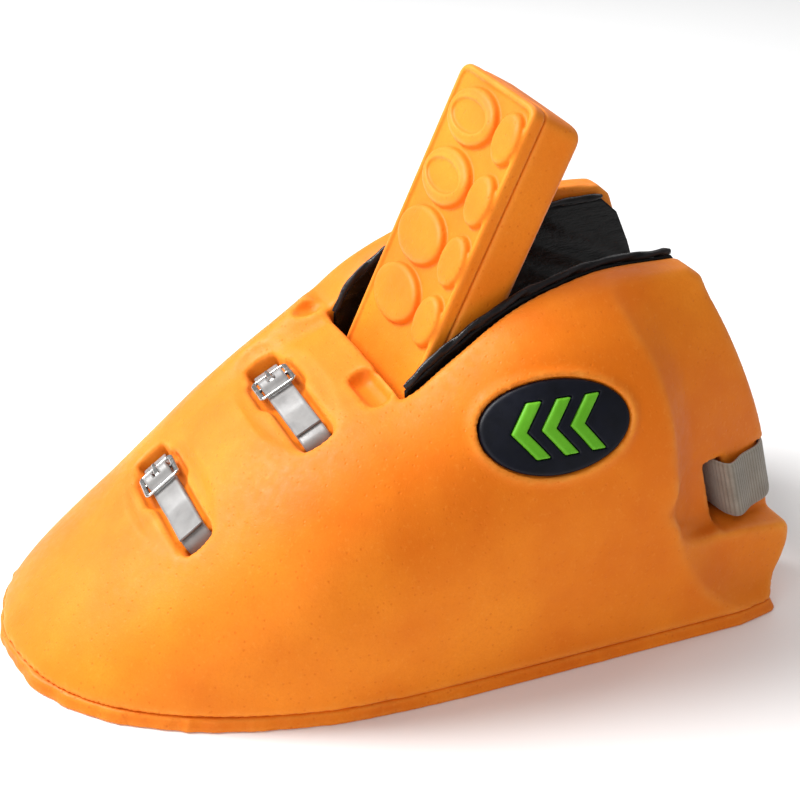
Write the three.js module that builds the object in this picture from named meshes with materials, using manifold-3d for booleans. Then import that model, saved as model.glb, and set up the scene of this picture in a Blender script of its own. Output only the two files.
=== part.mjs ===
// Moulded-foam kicker for a field-hockey goalkeeper, worn over the left shoe.
// Millimetres, +Z up, toe towards -Y, outer (lateral) side +X, origin under the middle on the ground.
import * as THREE from "three";
import { ParametricGeometry } from "three/addons/geometries/ParametricGeometry.js";
import { mergeVertices } from "three/addons/utils/BufferGeometryUtils.js";
import Module from "manifold-3d";

const wasm = await Module();
wasm.setup();

// ---- Driving dimensions -------------------------------------------------------------------------
const GAP = 0.3; // clearance between touching pieces

// Foam body
const TOE_Y = -185;
const HEEL_Y = 188;
const HALF_WIDTH = 110; // at the ground, from mid-foot back
const WIDEST_Y = 20; // the plan outline rounds in from here to the toe
const PLAN_EXPONENT = 2.5; // bluntness of the toe in plan
const TOE_SHIFT_X = -10; // the tip of the toe lies towards the big toe
const TOE_SHIFT_LENGTH = 125;
const SECTION_EXPONENT_TOE = 1.75; // round cross-section at the toe
const SECTION_EXPONENT_HEEL = 3.1; // boxy cross-section from the instep back
const BASE_THICKNESS = 6;
const BASE_LIP = 2.5; // how far the base layer stands out past the body
const BASE_TOE_Y = -181;
const BASE_REAR_Y = 166;
const BASE_REAR_RADIUS = 22;
// Height of the body's ridge along the foot: [y, z]
const RIDGE = [
  [-185, 7], [-176, 16], [-160, 30], [-140, 45], [-115, 63], [-90, 81],
  [-65, 99], [-35, 115], [-6, 127], [20, 144], [45, 162], [72, 174], [98, 180], [190, 182],
];
// The inner wall's shoulder stands higher beside the instep: [y, extra height]
const MEDIAL_RISE = [[-115, 0], [-70, 5], [-45, 8], [-30, 10], [-18, 13], [-6, 16], [9, 18], [24, 16],
  [40, 11], [70, 4], [190, 2]];
const MEDIAL_RISE_FROM_X = -38;
const MEDIAL_RISE_WIDTH = 22;
// Upper edge of each side wall, from the instep back to the rear corner: [y, z]
const RIM = {
  lateral: [[-30, 145], [-4, 126], [14, 139], [33, 151], [53, 161], [73, 167], [93, 171], [131, 171]],
  medial: [[-30, 150], [-6, 127], [7, 140], [22, 152], [38, 161], [60, 168], [90, 173], [129, 174], [146, 172]],
};
// Rear edge of each side wall, from the rim down to the ground: [y, z]
const REAR_EDGE = {
  lateral: [[137, 165], [141, 155], [149, 137], [158, 116], [168, 93], [175, 69], [178, 52], [180, 34],
    [177, 20], [166, -1]],
  medial: [[153, 166], [157, 155], [165, 137], [172, 116], [179, 93], [183, 69], [185, 52], [185, 34],
    [181, 20], [168, -1]],
};
// Where the full-width flank ends and the inset rear facet begins: [y, z]
const FACET_EDGE = [[84, 200], [87, 172], [97, 160], [100, 143], [102, 104], [104, 80], [108, 60],
  [113, 44], [122, 28], [135, 15], [156, -1]];
const LEDGE_Z = 49; // the facet is deep above this height and shallow below it
const FACET_START_Y = 101;
const UPPER_FACET = { step: 4, rearHalfWidth: 80 };
const LOWER_FACET = { step: 1.5, rearHalfWidth: 97 };

// Foot cavity
const CAVITY_TOE_Y = -122;
const CAVITY_WIDEST_Y = -35;
const CAVITY_HALF_WIDTH = 52;
const CAVITY_ROOF = [[-122, 22], [-112, 40], [-95, 51], [-60, 70], [-30, 88], [-6, 99], [200, 99]];
const OPENING_HALF_WIDTH = 48; // between the walls, above the shoe
const OPENING_FRONT_Y = -5;

// Tongue
const TONGUE_BASE = new THREE.Vector3(1.5, 5.4, 123.8); // on its front face, level with the instep edge
const TONGUE_LEAN = THREE.MathUtils.degToRad(25);
const TONGUE_LENGTH = 139;
const TONGUE_TUCK = 24; // length hidden below the instep edge
const TONGUE_WIDTH = 78;
const TONGUE_FACE_THICKNESS = 5.5;
const TONGUE_THICKNESS = 28.5;
const STUD_HEIGHT = 4;
const STUD_ROWS = [27.5, 57.3, 87, 116.8]; // heights along the tongue
const LARGE_STUD = { x: -9.5, width: 46, length: 27 };
const SMALL_STUD = { x: 27, width: 21.5, length: 24.5 };

// Straps over the foot
const STRAP_WIDTH = 13.5;
const STRAP_THICKNESS = 1.4;
const STRAP_BOTTOM_Z = 9; // height of the run under the sole
const NEAR_SLOT_X = 43.5;
const FAR_SLOT_X = -40;
const TROUGH = { depth: 6.3, halfWidth: 12.5, farX: -46, nearX: 50, cornerRadius: 9 };
const STRAPS = {
  toe: { y: -104, slope: 35.5, ridgeZ: 71, tailX: 38 },
  instep: { y: -45, slope: 28, ridgeZ: 110.1, tailX: 29 },
};
const BUCKLE_X = -17;
const BUCKLE = {
  length: 22, width: 21, thickness: 1.9, cornerRadius: 3.2, windowLength: 8, windowWidth: 15.2, centreBar: 1.6,
};
const BUCKLE_TILT = THREE.MathUtils.degToRad(10.2);
const BUCKLE_LIFT = 4.8; // centre bar above the trough floor
const PRONG = { width: 3.2, thickness: 1.3, eyeInner: 1.55, eyeOuter: 2.9, reach: 12.6 };

// Heel strap
const HEEL_STRAP = {
  width: 31, thickness: 2, lean: 0.28, z: 65, slotX: 97, slotY: 137.5, rearX: 80, rearY: 175, backY: 179.6,
};
const HEEL_STRAP_END_X = 47; // the strap's ends, inside the walls
const HEEL_SLOT = { front: -3, back: 9.5, sideGap: 1.5 }; // along the foot, from slotY
const KEEPER = { length: 18, height: 38, thickness: 3 };
const HINGE_STRIP = { fromY: -50, toY: -4.5, halfWidth: 26, thickness: 2 };

// Lining
const LINING = { thickness: 3, bottomZ: 58, frontY: -2.5 };
// Upper edge of the lining against the rim: [y, height above the foam's edge]
const LINING_ABOVE_RIM = {
  lateral: [[-10, -2.5], [160, -2.5]],
  medial: [[-10, -2.5], [30, -3], [90, -11], [160, -12]],
};
const BINDING_RADIUS = 1.9;

// Badge on the outer flank
const BADGE = { y: 50, z: 121, length: 67, height: 42, recess: 2, proud: 1 };
const BADGE_TILT = THREE.MathUtils.degToRad(20.5);
const CHEVRON = { count: 3, reach: 9, halfHeight: 12.5, width: 6.5, spacing: 13, sunk: 1, proud: 0.7 };

// ---- Materials ----------------------------------------------------------------------------------
function finish(color, roughness, metalness = 0) {
  return new THREE.MeshStandardMaterial({ color, roughness, metalness });
}
const ORANGE_FOAM = () => finish(0xf29a3c, 0.62);
const BLACK_LINING = () => finish(0x121014, 0.3);
const SILVER_STRAP = () => finish(0xc9c5c2, 0.4);
const STEEL = () => finish(0xb9b9bb, 0.28, 1);
const GREY_WEBBING = () => finish(0x8d8274, 0.85);
const NAVY = () => finish(0x141628, 0.35);
const GREEN = () => finish(0x6cb92d, 0.4);
const BLACK_PLASTIC = () => finish(0x18181a, 0.5);

// Limits that reach past the whole object
const FAR = 220;
const FAR_SIDE = 150;

// ---- Geometry helpers ---------------------------------------------------------------------------
// A smooth height through [place, height] pairs: cubic pieces with slopes taken across neighbours.
function smoothThrough(points, at) {
  const last = points.length - 1;
  if (at <= points[0][0]) return points[0][1];
  if (at >= points[last][0]) return points[last][1];
  const i = points.findIndex((point) => point[0] > at) - 1;
  const slope = (k) => {
    const a = points[Math.max(k - 1, 0)];
    const b = points[Math.min(k + 1, last)];
    return (b[1] - a[1]) / (b[0] - a[0]);
  };
  const span = points[i + 1][0] - points[i][0];
  const t = (at - points[i][0]) / span;
  return (
    (2 * t ** 3 - 3 * t ** 2 + 1) * points[i][1] +
    (t ** 3 - 2 * t ** 2 + t) * span * slope(i) +
    (3 * t ** 2 - 2 * t ** 3) * points[i + 1][1] +
    (t ** 3 - t ** 2) * span * slope(i + 1)
  );
}

function smoothStep(t) {
  return THREE.MathUtils.smoothstep(t, 0, 1);
}

// A closed three.js geometry as a solid for cutting and joining.
function solid(geometry) {
  const bare = geometry.clone();
  bare.deleteAttribute("normal");
  bare.deleteAttribute("uv");
  const merged = mergeVertices(bare, 1e-4);
  const corners = [];
  for (let i = 0; i < merged.index.count; i += 3) {
    const [a, b, c] = [0, 1, 2].map((k) => merged.index.getX(i + k));
    if (a !== b && b !== c && c !== a) corners.push(a, b, c);
  }
  return new wasm.Manifold(
    new wasm.Mesh({
      numProp: 3,
      vertProperties: new Float32Array(merged.attributes.position.array),
      triVerts: new Uint32Array(corners),
    }),
  );
}

function geometryOf(body) {
  const mesh = body.getMesh();
  const geometry = new THREE.BufferGeometry();
  geometry.setAttribute("position", new THREE.BufferAttribute(mesh.vertProperties, 3));
  geometry.setIndex(new THREE.BufferAttribute(mesh.triVerts, 1));
  geometry.computeVertexNormals();
  return geometry;
}

const group = new THREE.Group();
function addMesh(name, geometry, material, frame = null) {
  const mesh = new THREE.Mesh(geometry, material);
  mesh.name = name;
  if (frame) frame.decompose(mesh.position, mesh.quaternion, mesh.scale);
  group.add(mesh);
}

function shapeOf(points) {
  return new THREE.Shape(points.map(([a, b]) => new THREE.Vector2(a, b)));
}

// A prism whose outline is drawn in side view, [y, z], and which runs along X.
function sidePrism(points, fromX, toX) {
  const geometry = plate(shapeOf(points), fromX, toX);
  const axes = new THREE.Matrix4().makeBasis(
    new THREE.Vector3(0, 1, 0), new THREE.Vector3(0, 0, 1), new THREE.Vector3(1, 0, 0));
  return geometry.applyMatrix4(axes);
}

function plate(shape, fromZ, toZ, curveSegments = 12) {
  const settings = { depth: toZ - fromZ, bevelEnabled: false, curveSegments };
  return new THREE.ExtrudeGeometry(shape, settings).translate(0, 0, fromZ);
}

function block(x0, x1, y0, y1, z0, z1) {
  const geometry = new THREE.BoxGeometry(x1 - x0, y1 - y0, z1 - z0);
  return geometry.translate((x0 + x1) / 2, (y0 + y1) / 2, (z0 + z1) / 2);
}

function ellipse(x, y, width, length) {
  const shape = new THREE.Shape();
  shape.absellipse(x, y, width / 2, length / 2, 0, 2 * Math.PI, false, 0);
  return shape;
}

function roundedRectangle(x0, x1, y0, y1, radius) {
  const shape = new THREE.Shape();
  shape.moveTo(x0 + radius, y0);
  shape.lineTo(x1 - radius, y0);
  shape.absarc(x1 - radius, y0 + radius, radius, -Math.PI / 2, 0);
  shape.lineTo(x1, y1 - radius);
  shape.absarc(x1 - radius, y1 - radius, radius, 0, Math.PI / 2);
  shape.lineTo(x0 + radius, y1);
  shape.absarc(x0 + radius, y1 - radius, radius, Math.PI / 2, Math.PI);
  shape.lineTo(x0, y0 + radius);
  shape.absarc(x0 + radius, y0 + radius, radius, Math.PI, 1.5 * Math.PI);
  return shape;
}

// A ribbon of even thickness whose middle line passes through the points, [x, y].
function ribbonShape(points, thickness, stepsPerSpan) {
  const steps = (points.length - 1) * stepsPerSpan;
  const places = points.map(([x, y]) => new THREE.Vector3(x, y, 0));
  const line = new THREE.CatmullRomCurve3(places, false, "centripetal");
  const left = [];
  const right = [];
  for (let i = 0; i <= steps; i += 1) {
    const point = line.getPoint(i / steps);
    const along = line.getTangent(i / steps);
    left.push([point.x - (along.y * thickness) / 2, point.y + (along.x * thickness) / 2]);
    right.push([point.x + (along.y * thickness) / 2, point.y - (along.x * thickness) / 2]);
  }
  return shapeOf([...right, ...left.reverse()]);
}

// A lofted body, closed at both ends, with a superellipse over a flat floor as its section.
function loft(stations, sectionAt, around) {
  const rings = [{ ...stations[0], shrink: 0 }, ...stations.map((s) => ({ ...s, shrink: 1 })),
    { ...stations[stations.length - 1], shrink: 0 }];
  const last = rings.length - 1;
  const geometry = new ParametricGeometry((u, v, target) => {
    const ring = rings[Math.round(u * last)];
    const { centreX, halfWidth, floor, height, exponent, rise } = sectionAt(ring);
    const step = Math.round(v * around);
    const angle = step === around ? 0 : (Math.PI * step) / (around - 1);
    const cos = Math.abs(Math.cos(angle)) < 1e-9 ? 0 : Math.cos(angle);
    const sin = Math.abs(Math.sin(angle)) < 1e-9 ? 0 : Math.sin(angle);
    const x = centreX + ring.shrink * halfWidth * Math.sign(cos) * Math.abs(cos) ** (2 / exponent);
    const raised = height + (rise ? rise(x) : 0);
    const z = floor + ring.shrink * raised * sin ** (2 / exponent);
    target.set(x, ring.y, z);
  }, last, around);
  return solid(geometry);
}

// ---- Foam body ----------------------------------------------------------------------------------
function planHalfWidth(y, toeY, widestY, halfWidth, exponent) {
  const t = Math.min(Math.max((widestY - y) / (widestY - toeY), 0), 1);
  return halfWidth * (1 - t ** exponent) ** (1 / exponent);
}

// Places along the foot, closer together at the toe.
function stationsFrom(toeY, widestY, heelY, roundSteps, straightSteps) {
  const stations = [];
  for (let i = 0; i <= roundSteps; i += 1) {
    const angle = ((i + 0.35) / (roundSteps + 0.35)) * (Math.PI / 2);
    stations.push({ y: toeY + (widestY - toeY) * (1 - Math.cos(angle)) });
  }
  for (let i = 1; i <= straightSteps; i += 1) {
    stations.push({ y: widestY + ((heelY - widestY) * i) / straightSteps });
  }
  return stations;
}

function bodySection(y, offset, halfWidth) {
  const back = Math.min((y - TOE_Y) / 180, 1);
  const towardsToe = Math.max(1 - (y - TOE_Y) / TOE_SHIFT_LENGTH, 0);
  return {
    centreX: TOE_SHIFT_X * towardsToe,
    halfWidth: halfWidth + offset,
    floor: 0,
    height: smoothThrough(RIDGE, y) + offset,
    exponent: SECTION_EXPONENT_TOE + (SECTION_EXPONENT_HEEL - SECTION_EXPONENT_TOE) * back,
    rise: (x) => smoothThrough(MEDIAL_RISE, y) * smoothStep((MEDIAL_RISE_FROM_X - x) / MEDIAL_RISE_WIDTH),
  };
}

function fullWidthForm(offset = 0) {
  const stations = stationsFrom(TOE_Y - offset, WIDEST_Y, HEEL_Y, 20, 9);
  return loft(stations, ({ y }) => {
    const halfWidth = planHalfWidth(y, TOE_Y - offset, WIDEST_Y, HALF_WIDTH, PLAN_EXPONENT);
    return bodySection(y, offset, halfWidth);
  }, 33);
}

function facetForm({ step, rearHalfWidth }) {
  const stations = [75, FACET_START_Y, 120, 140, 160, HEEL_Y].map((y) => ({ y }));
  const narrowing = (HALF_WIDTH - step - rearHalfWidth) / (175 - FACET_START_Y);
  return loft(stations, ({ y }) => {
    const halfWidth = HALF_WIDTH - step - narrowing * Math.max(y - FACET_START_Y, 0);
    return bodySection(y, 0, halfWidth);
  }, 33);
}

function cavityForm(offset = 0) {
  const stations = stationsFrom(CAVITY_TOE_Y, CAVITY_WIDEST_Y, 210, 9, 5);
  return loft(stations, ({ y }) => ({
    centreX: 0,
    halfWidth: planHalfWidth(y, CAVITY_TOE_Y, CAVITY_WIDEST_Y, CAVITY_HALF_WIDTH, 2.3) - offset,
    floor: -5,
    height: smoothThrough(CAVITY_ROOF, y) - offset + 5,
    exponent: 2.8,
  }), 17);
}

// The space between the walls; its front slopes forward under the instep edge, along the tongue.
function ankleOpening() {
  const front = OPENING_FRONT_Y;
  const outline = [[front, FAR], [front, 121], [front - 19, 84], [front - 19, 30], [front, -10], [FAR, -10],
    [FAR, FAR]];
  return sidePrism(outline, -OPENING_HALF_WIDTH, OPENING_HALF_WIDTH);
}

function rearEdgeLimit(side, x0, x1) {
  const rear = REAR_EDGE[side];
  const outline = [[-FAR, -20], [rear[rear.length - 1][0], -20], ...[...rear].reverse(),
    ...[...RIM[side]].reverse(), [-60, FAR], [-FAR, FAR]];
  return sidePrism(outline, x0, x1);
}

function flankLimit() {
  const outline = [[-FAR, -20], [158, -20], ...[...FACET_EDGE].reverse(), [-FAR, FAR]];
  return sidePrism(outline, -FAR_SIDE, FAR_SIDE);
}

// ---- Straps -------------------------------------------------------------------------------------
// The frame of a strap: X across the foot, Y out of the foam, Z down the slope towards the toe.
function strapFrame(strap) {
  const slope = THREE.MathUtils.degToRad(strap.slope);
  const out = new THREE.Vector3(0, -Math.sin(slope), Math.cos(slope));
  const across = new THREE.Vector3(1, 0, 0);
  const down = new THREE.Vector3().crossVectors(across, out);
  const origin = new THREE.Vector3(0, strap.y, strap.ridgeZ).addScaledVector(out, -TROUGH.depth);
  return new THREE.Matrix4().makeBasis(across, out, down).setPosition(origin);
}

function strapDepth(strap) {
  const slope = THREE.MathUtils.degToRad(strap.slope);
  return (strap.ridgeZ - TROUGH.depth * Math.cos(slope) - STRAP_BOTTOM_Z) / Math.cos(slope);
}

// Trough, and a slot at each end that lets the strap down into the foot cavity.
function strapCuts(strap) {
  const frame = strapFrame(strap);
  const half = TROUGH.halfWidth;
  const trough = roundedRectangle(TROUGH.farX, TROUGH.nearX, -half, half, TROUGH.cornerRadius);
  const troughPlate = plate(trough, -GAP, 30, 4).rotateX(-Math.PI / 2);
  const depth = strapDepth(strap) + 3;
  let cuts = solid(troughPlate.applyMatrix4(frame));
  for (const x of [NEAR_SLOT_X, FAR_SLOT_X]) {
    const slot = block(x - 2.6, x + 2.6, -depth, 6, -STRAP_WIDTH / 2 - 1.5, STRAP_WIDTH / 2 + 1.5);
    const inward = x > 0 ? [x - 8, x + 2.6] : [x - 2.6, x + 8];
    const mouth = block(...inward, -2.6, 6, -STRAP_WIDTH / 2 - 1.5, STRAP_WIDTH / 2 + 1.5);
    cuts = cuts.add(solid(slot.applyMatrix4(frame))).add(solid(mouth.applyMatrix4(frame)));
  }
  return cuts;
}

// One ribbon: folded round the buckle's centre bar, down the near slot, under the sole, up the far slot,
// through the buckle, and back over itself to its free tail.
function strapRibbon(strap) {
  const depth = strapDepth(strap);
  const bar = BUCKLE_X;
  const lift = BUCKLE_LIFT;
  const near = NEAR_SLOT_X;
  const far = FAR_SLOT_X;
  const fold = [[bar + 21, 2.5], [bar + 9.5, 2.5], [bar + 6, 2.9], [bar + 3, 5.3], [bar + 1.3, lift + 1.95],
    [bar - 0.7, lift + 2.2], [bar - 2.2, lift + 0.6], [bar - 1.6, lift - 1.7], [bar + 0.6, lift - 2.5],
    [bar + 5, 1.1], [bar + 11, 0.8], [bar + 25, 0.8], [bar + 40, 0.8], [near - 8, 0.8]];
  const down = [[near - 2.5, -0.8], [near, -6], [near, -depth / 2], [near, -depth + 8],
    [near - 2.3, -depth + 2.3], [near - 8, -depth], [0, -depth]];
  const up = [[far + 8, -depth], [far + 2.3, -depth + 2.3], [far, -depth + 8], [far, -depth / 2], [far, -6],
    [far + 2, -1], [far + 6.5, 0.8], [bar - 11, 0.7], [bar - 9, 0.8]];
  const over = [[bar - 7.3, 1.7], [bar - 5.6, 4.9], [bar - 3.6, 8.4], [bar - 0.4, 9.6], [bar + 3, 8.3],
    [bar + 6.2, 5.4], [bar + 8.3, 4.2], [bar + 12, 4.15], [bar + 19, 4.15], [bar + 24, 3.6], [bar + 28, 2.6],
    [bar + 38, 2.5], [strap.tailX, 2.5]];
  const line = [...fold, ...down, ...up, ...over];
  const shape = ribbonShape(line, STRAP_THICKNESS, 3);
  const ribbon = solid(plate(shape, -STRAP_WIDTH / 2, STRAP_WIDTH / 2));
  const prongSlot = block(bar - 7.6, bar + 4.4, 1.5, 14, -2.1, 2.1);
  return geometryOf(ribbon.subtract(solid(prongSlot)));
}

function buckleFrameMatrix(strap) {
  const lift = new THREE.Matrix4().makeRotationZ(BUCKLE_TILT).setPosition(BUCKLE_X, BUCKLE_LIFT, 0);
  return strapFrame(strap).multiply(lift);
}

// Rectangular frame with a centre bar, drawn in its own X-Z plane.
function buckleFrameGeometry() {
  const { length, width, thickness, cornerRadius, windowLength, windowWidth, centreBar } = BUCKLE;
  const shape = roundedRectangle(-length / 2, length / 2, -width / 2, width / 2, cornerRadius);
  for (const side of [-1, 1]) {
    const from = side > 0 ? centreBar / 2 : -centreBar / 2 - windowLength;
    shape.holes.push(roundedRectangle(from, from + windowLength, -windowWidth / 2, windowWidth / 2, 0.9));
  }
  return plate(shape, -thickness / 2, thickness / 2, 4).rotateX(-Math.PI / 2);
}

// Eye round the centre bar, and a straight tongue that rests on the far bar.
function prongGeometry() {
  const { width, thickness, eyeInner, eyeOuter, reach } = PRONG;
  const eye = new THREE.Shape();
  eye.absarc(0, 0, eyeOuter, 0, 2 * Math.PI);
  const hole = new THREE.Path();
  hole.absarc(0, 0, eyeInner, 0, 2 * Math.PI, true);
  eye.holes.push(hole);
  const top = eyeInner + thickness;
  const bar = shapeOf([[-reach, eyeInner], [0, eyeInner + 0.02], [0, top], [-reach + 1, top]]);
  const joined = solid(plate(eye, -width / 2, width / 2, 16)).add(solid(plate(bar, -width / 2, width / 2)));
  return geometryOf(joined);
}

function addStrap(name, strap) {
  addMesh(`${name}_strap`, strapRibbon(strap), SILVER_STRAP(), strapFrame(strap));
  addMesh(`${name}_buckle_frame`, buckleFrameGeometry(), STEEL(), buckleFrameMatrix(strap));
  addMesh(`${name}_buckle_prong`, prongGeometry(), STEEL(), buckleFrameMatrix(strap));
}

// ---- Heel strap ---------------------------------------------------------------------------------
// Drawn in plan from the slots, and sheared so that its upper edge leans forward with the rear edge.
function heelStrapFrame() {
  const { lean, slotY, z } = HEEL_STRAP;
  return new THREE.Matrix4().set(1, 0, 0, 0, 0, 1, -lean, slotY, 0, 0, 1, z, 0, 0, 0, 1);
}

// Half of the strap's path behind its slot, out along the flank and round the rear corner.
function heelStrapSide() {
  const { slotX, slotY, rearX, rearY, backY } = HEEL_STRAP;
  return [[slotX - 7, 5], [slotX - 4.6, 9.5], [rearX + 6, rearY - slotY - 16], [rearX, rearY - slotY - 3],
    [rearX - 9, rearY - slotY + 3], [rearX * 0.45, backY - slotY - 1]];
}

function heelStrapRibbon() {
  const { slotX, slotY, backY, width, thickness } = HEEL_STRAP;
  const side = [[HEEL_STRAP_END_X, 0], [slotX - 24, 1.2], ...heelStrapSide()];
  const mirrored = side.map(([x, y]) => [-x, y]).reverse();
  const shape = ribbonShape([...side, [0, backY - slotY], ...mirrored], thickness, 4);
  return plate(shape, -width / 2, width / 2).applyMatrix4(heelStrapFrame());
}

function heelSlot(side) {
  const { slotX, width } = HEEL_STRAP;
  const { front, back, sideGap } = HEEL_SLOT;
  const [x0, x1] = side > 0 ? [40, slotX + 25] : [-slotX - 25, -40];
  const half = width / 2 + sideGap;
  return solid(block(x0, x1, front, back, -half, half).applyMatrix4(heelStrapFrame()));
}

// Clearance along the facet, so that the strap lies in a shallow groove.
function heelGroove() {
  const { width, thickness } = HEEL_STRAP;
  const half = width / 2 + 0.8;
  let cut = null;
  for (const mirror of [1, -1]) {
    const line = heelStrapSide().map(([x, y]) => [x * mirror, y]);
    const shape = ribbonShape(mirror > 0 ? line : line.reverse(), thickness + 2 * GAP + 0.4, 4);
    const piece = solid(plate(shape, -half, half).applyMatrix4(heelStrapFrame()));
    cut = cut ? cut.add(piece) : piece;
  }
  return cut;
}

// ---- Badge --------------------------------------------------------------------------------------
function badgeFrame() {
  const out = new THREE.Vector3(Math.cos(BADGE_TILT), 0, Math.sin(BADGE_TILT));
  const along = new THREE.Vector3(0, 1, 0);
  const up = new THREE.Vector3().crossVectors(out, along);
  const middle = new THREE.Vector3(60, BADGE.y, BADGE.z - 37 * Math.tan(BADGE_TILT));
  return new THREE.Matrix4().makeBasis(along, up, out).setPosition(middle);
}

function badgePrism(grow) {
  return solid(plate(ellipse(0, 0, BADGE.length + 2 * grow, BADGE.height + 2 * grow), 0, 80, 20)
    .applyMatrix4(badgeFrame()));
}

function chevronPrism(index, grow) {
  const { count, reach, halfHeight, width, spacing } = CHEVRON;
  const row = (count - 1) * spacing + reach + width;
  const tip = -row / 2 + index * spacing - grow;
  const arm = reach + grow;
  const half = halfHeight + grow;
  const thick = width + 2 * grow;
  const outline = [[tip, 0], [tip + arm, -half], [tip + arm + thick, -half], [tip + thick, 0],
    [tip + arm + thick, half], [tip + arm, half]];
  return solid(plate(shapeOf(outline), 0, 80).applyMatrix4(badgeFrame()));
}

// ---- Tongue -------------------------------------------------------------------------------------
// X across, Y up along the tongue, Z out of its studded front.
function tongueFrame() {
  const up = new THREE.Vector3(0, Math.sin(TONGUE_LEAN), Math.cos(TONGUE_LEAN));
  const across = new THREE.Vector3(1, 0, 0);
  const out = new THREE.Vector3().crossVectors(across, up);
  return new THREE.Matrix4().makeBasis(across, up, out).setPosition(TONGUE_BASE);
}

function stud({ x, width, length }, y) {
  const bevel = 1.6;
  const outline = ellipse(x, y, width - 2 * bevel, length - 2 * bevel);
  const geometry = new THREE.ExtrudeGeometry(outline, {
    depth: STUD_HEIGHT + 1 - bevel, bevelThickness: bevel, bevelSize: bevel, bevelSegments: 2, curveSegments: 10,
  });
  return solid(geometry.translate(0, 0, -1));
}

function tongueFace() {
  const half = TONGUE_WIDTH / 2;
  const bevel = 1.6;
  const outline = roundedRectangle(-half + bevel, half - bevel, -TONGUE_TUCK + bevel, TONGUE_LENGTH - bevel, 9);
  const pad = new THREE.ExtrudeGeometry(outline, {
    depth: TONGUE_FACE_THICKNESS - 2 * bevel, bevelThickness: bevel, bevelSize: bevel, bevelSegments: 2,
    curveSegments: 6,
  });
  let face = solid(pad.translate(0, 0, bevel - TONGUE_FACE_THICKNESS));
  for (const y of STUD_ROWS) {
    face = face.add(stud(LARGE_STUD, y)).add(stud(SMALL_STUD, y));
  }
  return geometryOf(face);
}

function tongueBlock() {
  const half = TONGUE_WIDTH / 2;
  const bevel = 2;
  const outline = roundedRectangle(-half + bevel, half - bevel, -TONGUE_TUCK + bevel, TONGUE_LENGTH - bevel, 9);
  const depth = TONGUE_THICKNESS - TONGUE_FACE_THICKNESS - GAP;
  const geometry = new THREE.ExtrudeGeometry(outline, {
    depth: depth - 2 * bevel, bevelThickness: bevel, bevelSize: bevel, bevelSegments: 2, curveSegments: 6,
  });
  return geometry.translate(0, 0, bevel - TONGUE_THICKNESS);
}

// A flexible strip along the roof of the foot cavity, up to the tongue's lower end.
function hingeStrip() {
  const { fromY, toY, halfWidth, thickness } = HINGE_STRIP;
  const layer = cavityForm(GAP).subtract(cavityForm(GAP + thickness));
  return layer.intersect(solid(block(-halfWidth, halfWidth, fromY, toY, 50, 130)));
}

// A flat bar that stops each end of the heel strap from pulling out of its wall.
function keeper(side) {
  const { length, height, thickness } = KEEPER;
  const x = side * (HEEL_STRAP_END_X - GAP - thickness / 2);
  const outline = roundedRectangle(-length / 2, length / 2, -height / 2, height / 2, 4);
  const upright = new THREE.Matrix4().makeBasis(
    new THREE.Vector3(0, 1, 0), new THREE.Vector3(0, 0, 1), new THREE.Vector3(1, 0, 0));
  const bar = plate(outline, x - thickness / 2, x + thickness / 2, 4);
  return bar.applyMatrix4(heelStrapFrame().multiply(upright));
}

// ---- Assembly -----------------------------------------------------------------------------------
const cavity = cavityForm();
const opening = solid(ankleOpening());
const outline = fullWidthForm();
const aboveLedge = (z) => solid(block(-FAR_SIDE, FAR_SIDE, 0, FAR, z, FAR));
const facets = facetForm(LOWER_FACET).subtract(aboveLedge(LEDGE_Z))
  .add(facetForm(UPPER_FACET).intersect(aboveLedge(LEDGE_Z - 3)));
const sideLimits = solid(rearEdgeLimit("lateral", 0, FAR_SIDE))
  .add(solid(rearEdgeLimit("medial", -FAR_SIDE, 0)));
const body = outline.intersect(solid(flankLimit())).add(facets).intersect(sideLimits);

function foamShell() {
  const floor = BASE_THICKNESS + GAP;
  let shell = body.subtract(solid(block(-FAR_SIDE, FAR_SIDE, -FAR, FAR, -20, floor)));
  shell = shell.subtract(cavity).subtract(opening);
  for (const strap of Object.values(STRAPS)) shell = shell.subtract(strapCuts(strap));
  for (const side of [1, -1]) shell = shell.subtract(heelSlot(side));
  shell = shell.subtract(heelGroove());
  return shell.subtract(badgePrism(GAP).subtract(fullWidthForm(-BADGE.recess - GAP)));
}

// Flat layer under the body, with the body's plan outline and rounded rear corners.
function baseLayer() {
  const plan = new THREE.Shape();
  const steps = 26;
  const radius = BASE_REAR_RADIUS;
  const halfWidth = HALF_WIDTH + BASE_LIP;
  plan.moveTo(halfWidth, BASE_REAR_Y - radius);
  plan.absarc(halfWidth - radius, BASE_REAR_Y - radius, radius, 0, Math.PI / 2);
  plan.lineTo(-halfWidth + radius, BASE_REAR_Y);
  plan.absarc(-halfWidth + radius, BASE_REAR_Y - radius, radius, Math.PI / 2, Math.PI);
  for (const side of [-1, 1]) {
    for (let i = 0; i < steps; i += 1) {
      const angle = ((side < 0 ? i : steps - i) / steps) * (Math.PI / 2);
      const y = WIDEST_Y - (WIDEST_Y - BASE_TOE_Y) * Math.sin(angle);
      const shift = TOE_SHIFT_X * Math.max(1 - (y - TOE_Y) / TOE_SHIFT_LENGTH, 0);
      plan.lineTo(shift + side * planHalfWidth(y, BASE_TOE_Y, WIDEST_Y, halfWidth, PLAN_EXPONENT), y);
    }
  }
  return solid(plate(plan, 0, BASE_THICKNESS, 8)).subtract(cavity).subtract(opening);
}

addMesh("foam_shell", geometryOf(foamShell()), ORANGE_FOAM());
addMesh("base_layer", geometryOf(baseLayer()), ORANGE_FOAM());

function liningTop(name) {
  return RIM[name].filter(([y]) => y > 0).map(([y, z]) => [y, z + smoothThrough(LINING_ABOVE_RIM[name], y)]);
}

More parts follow.
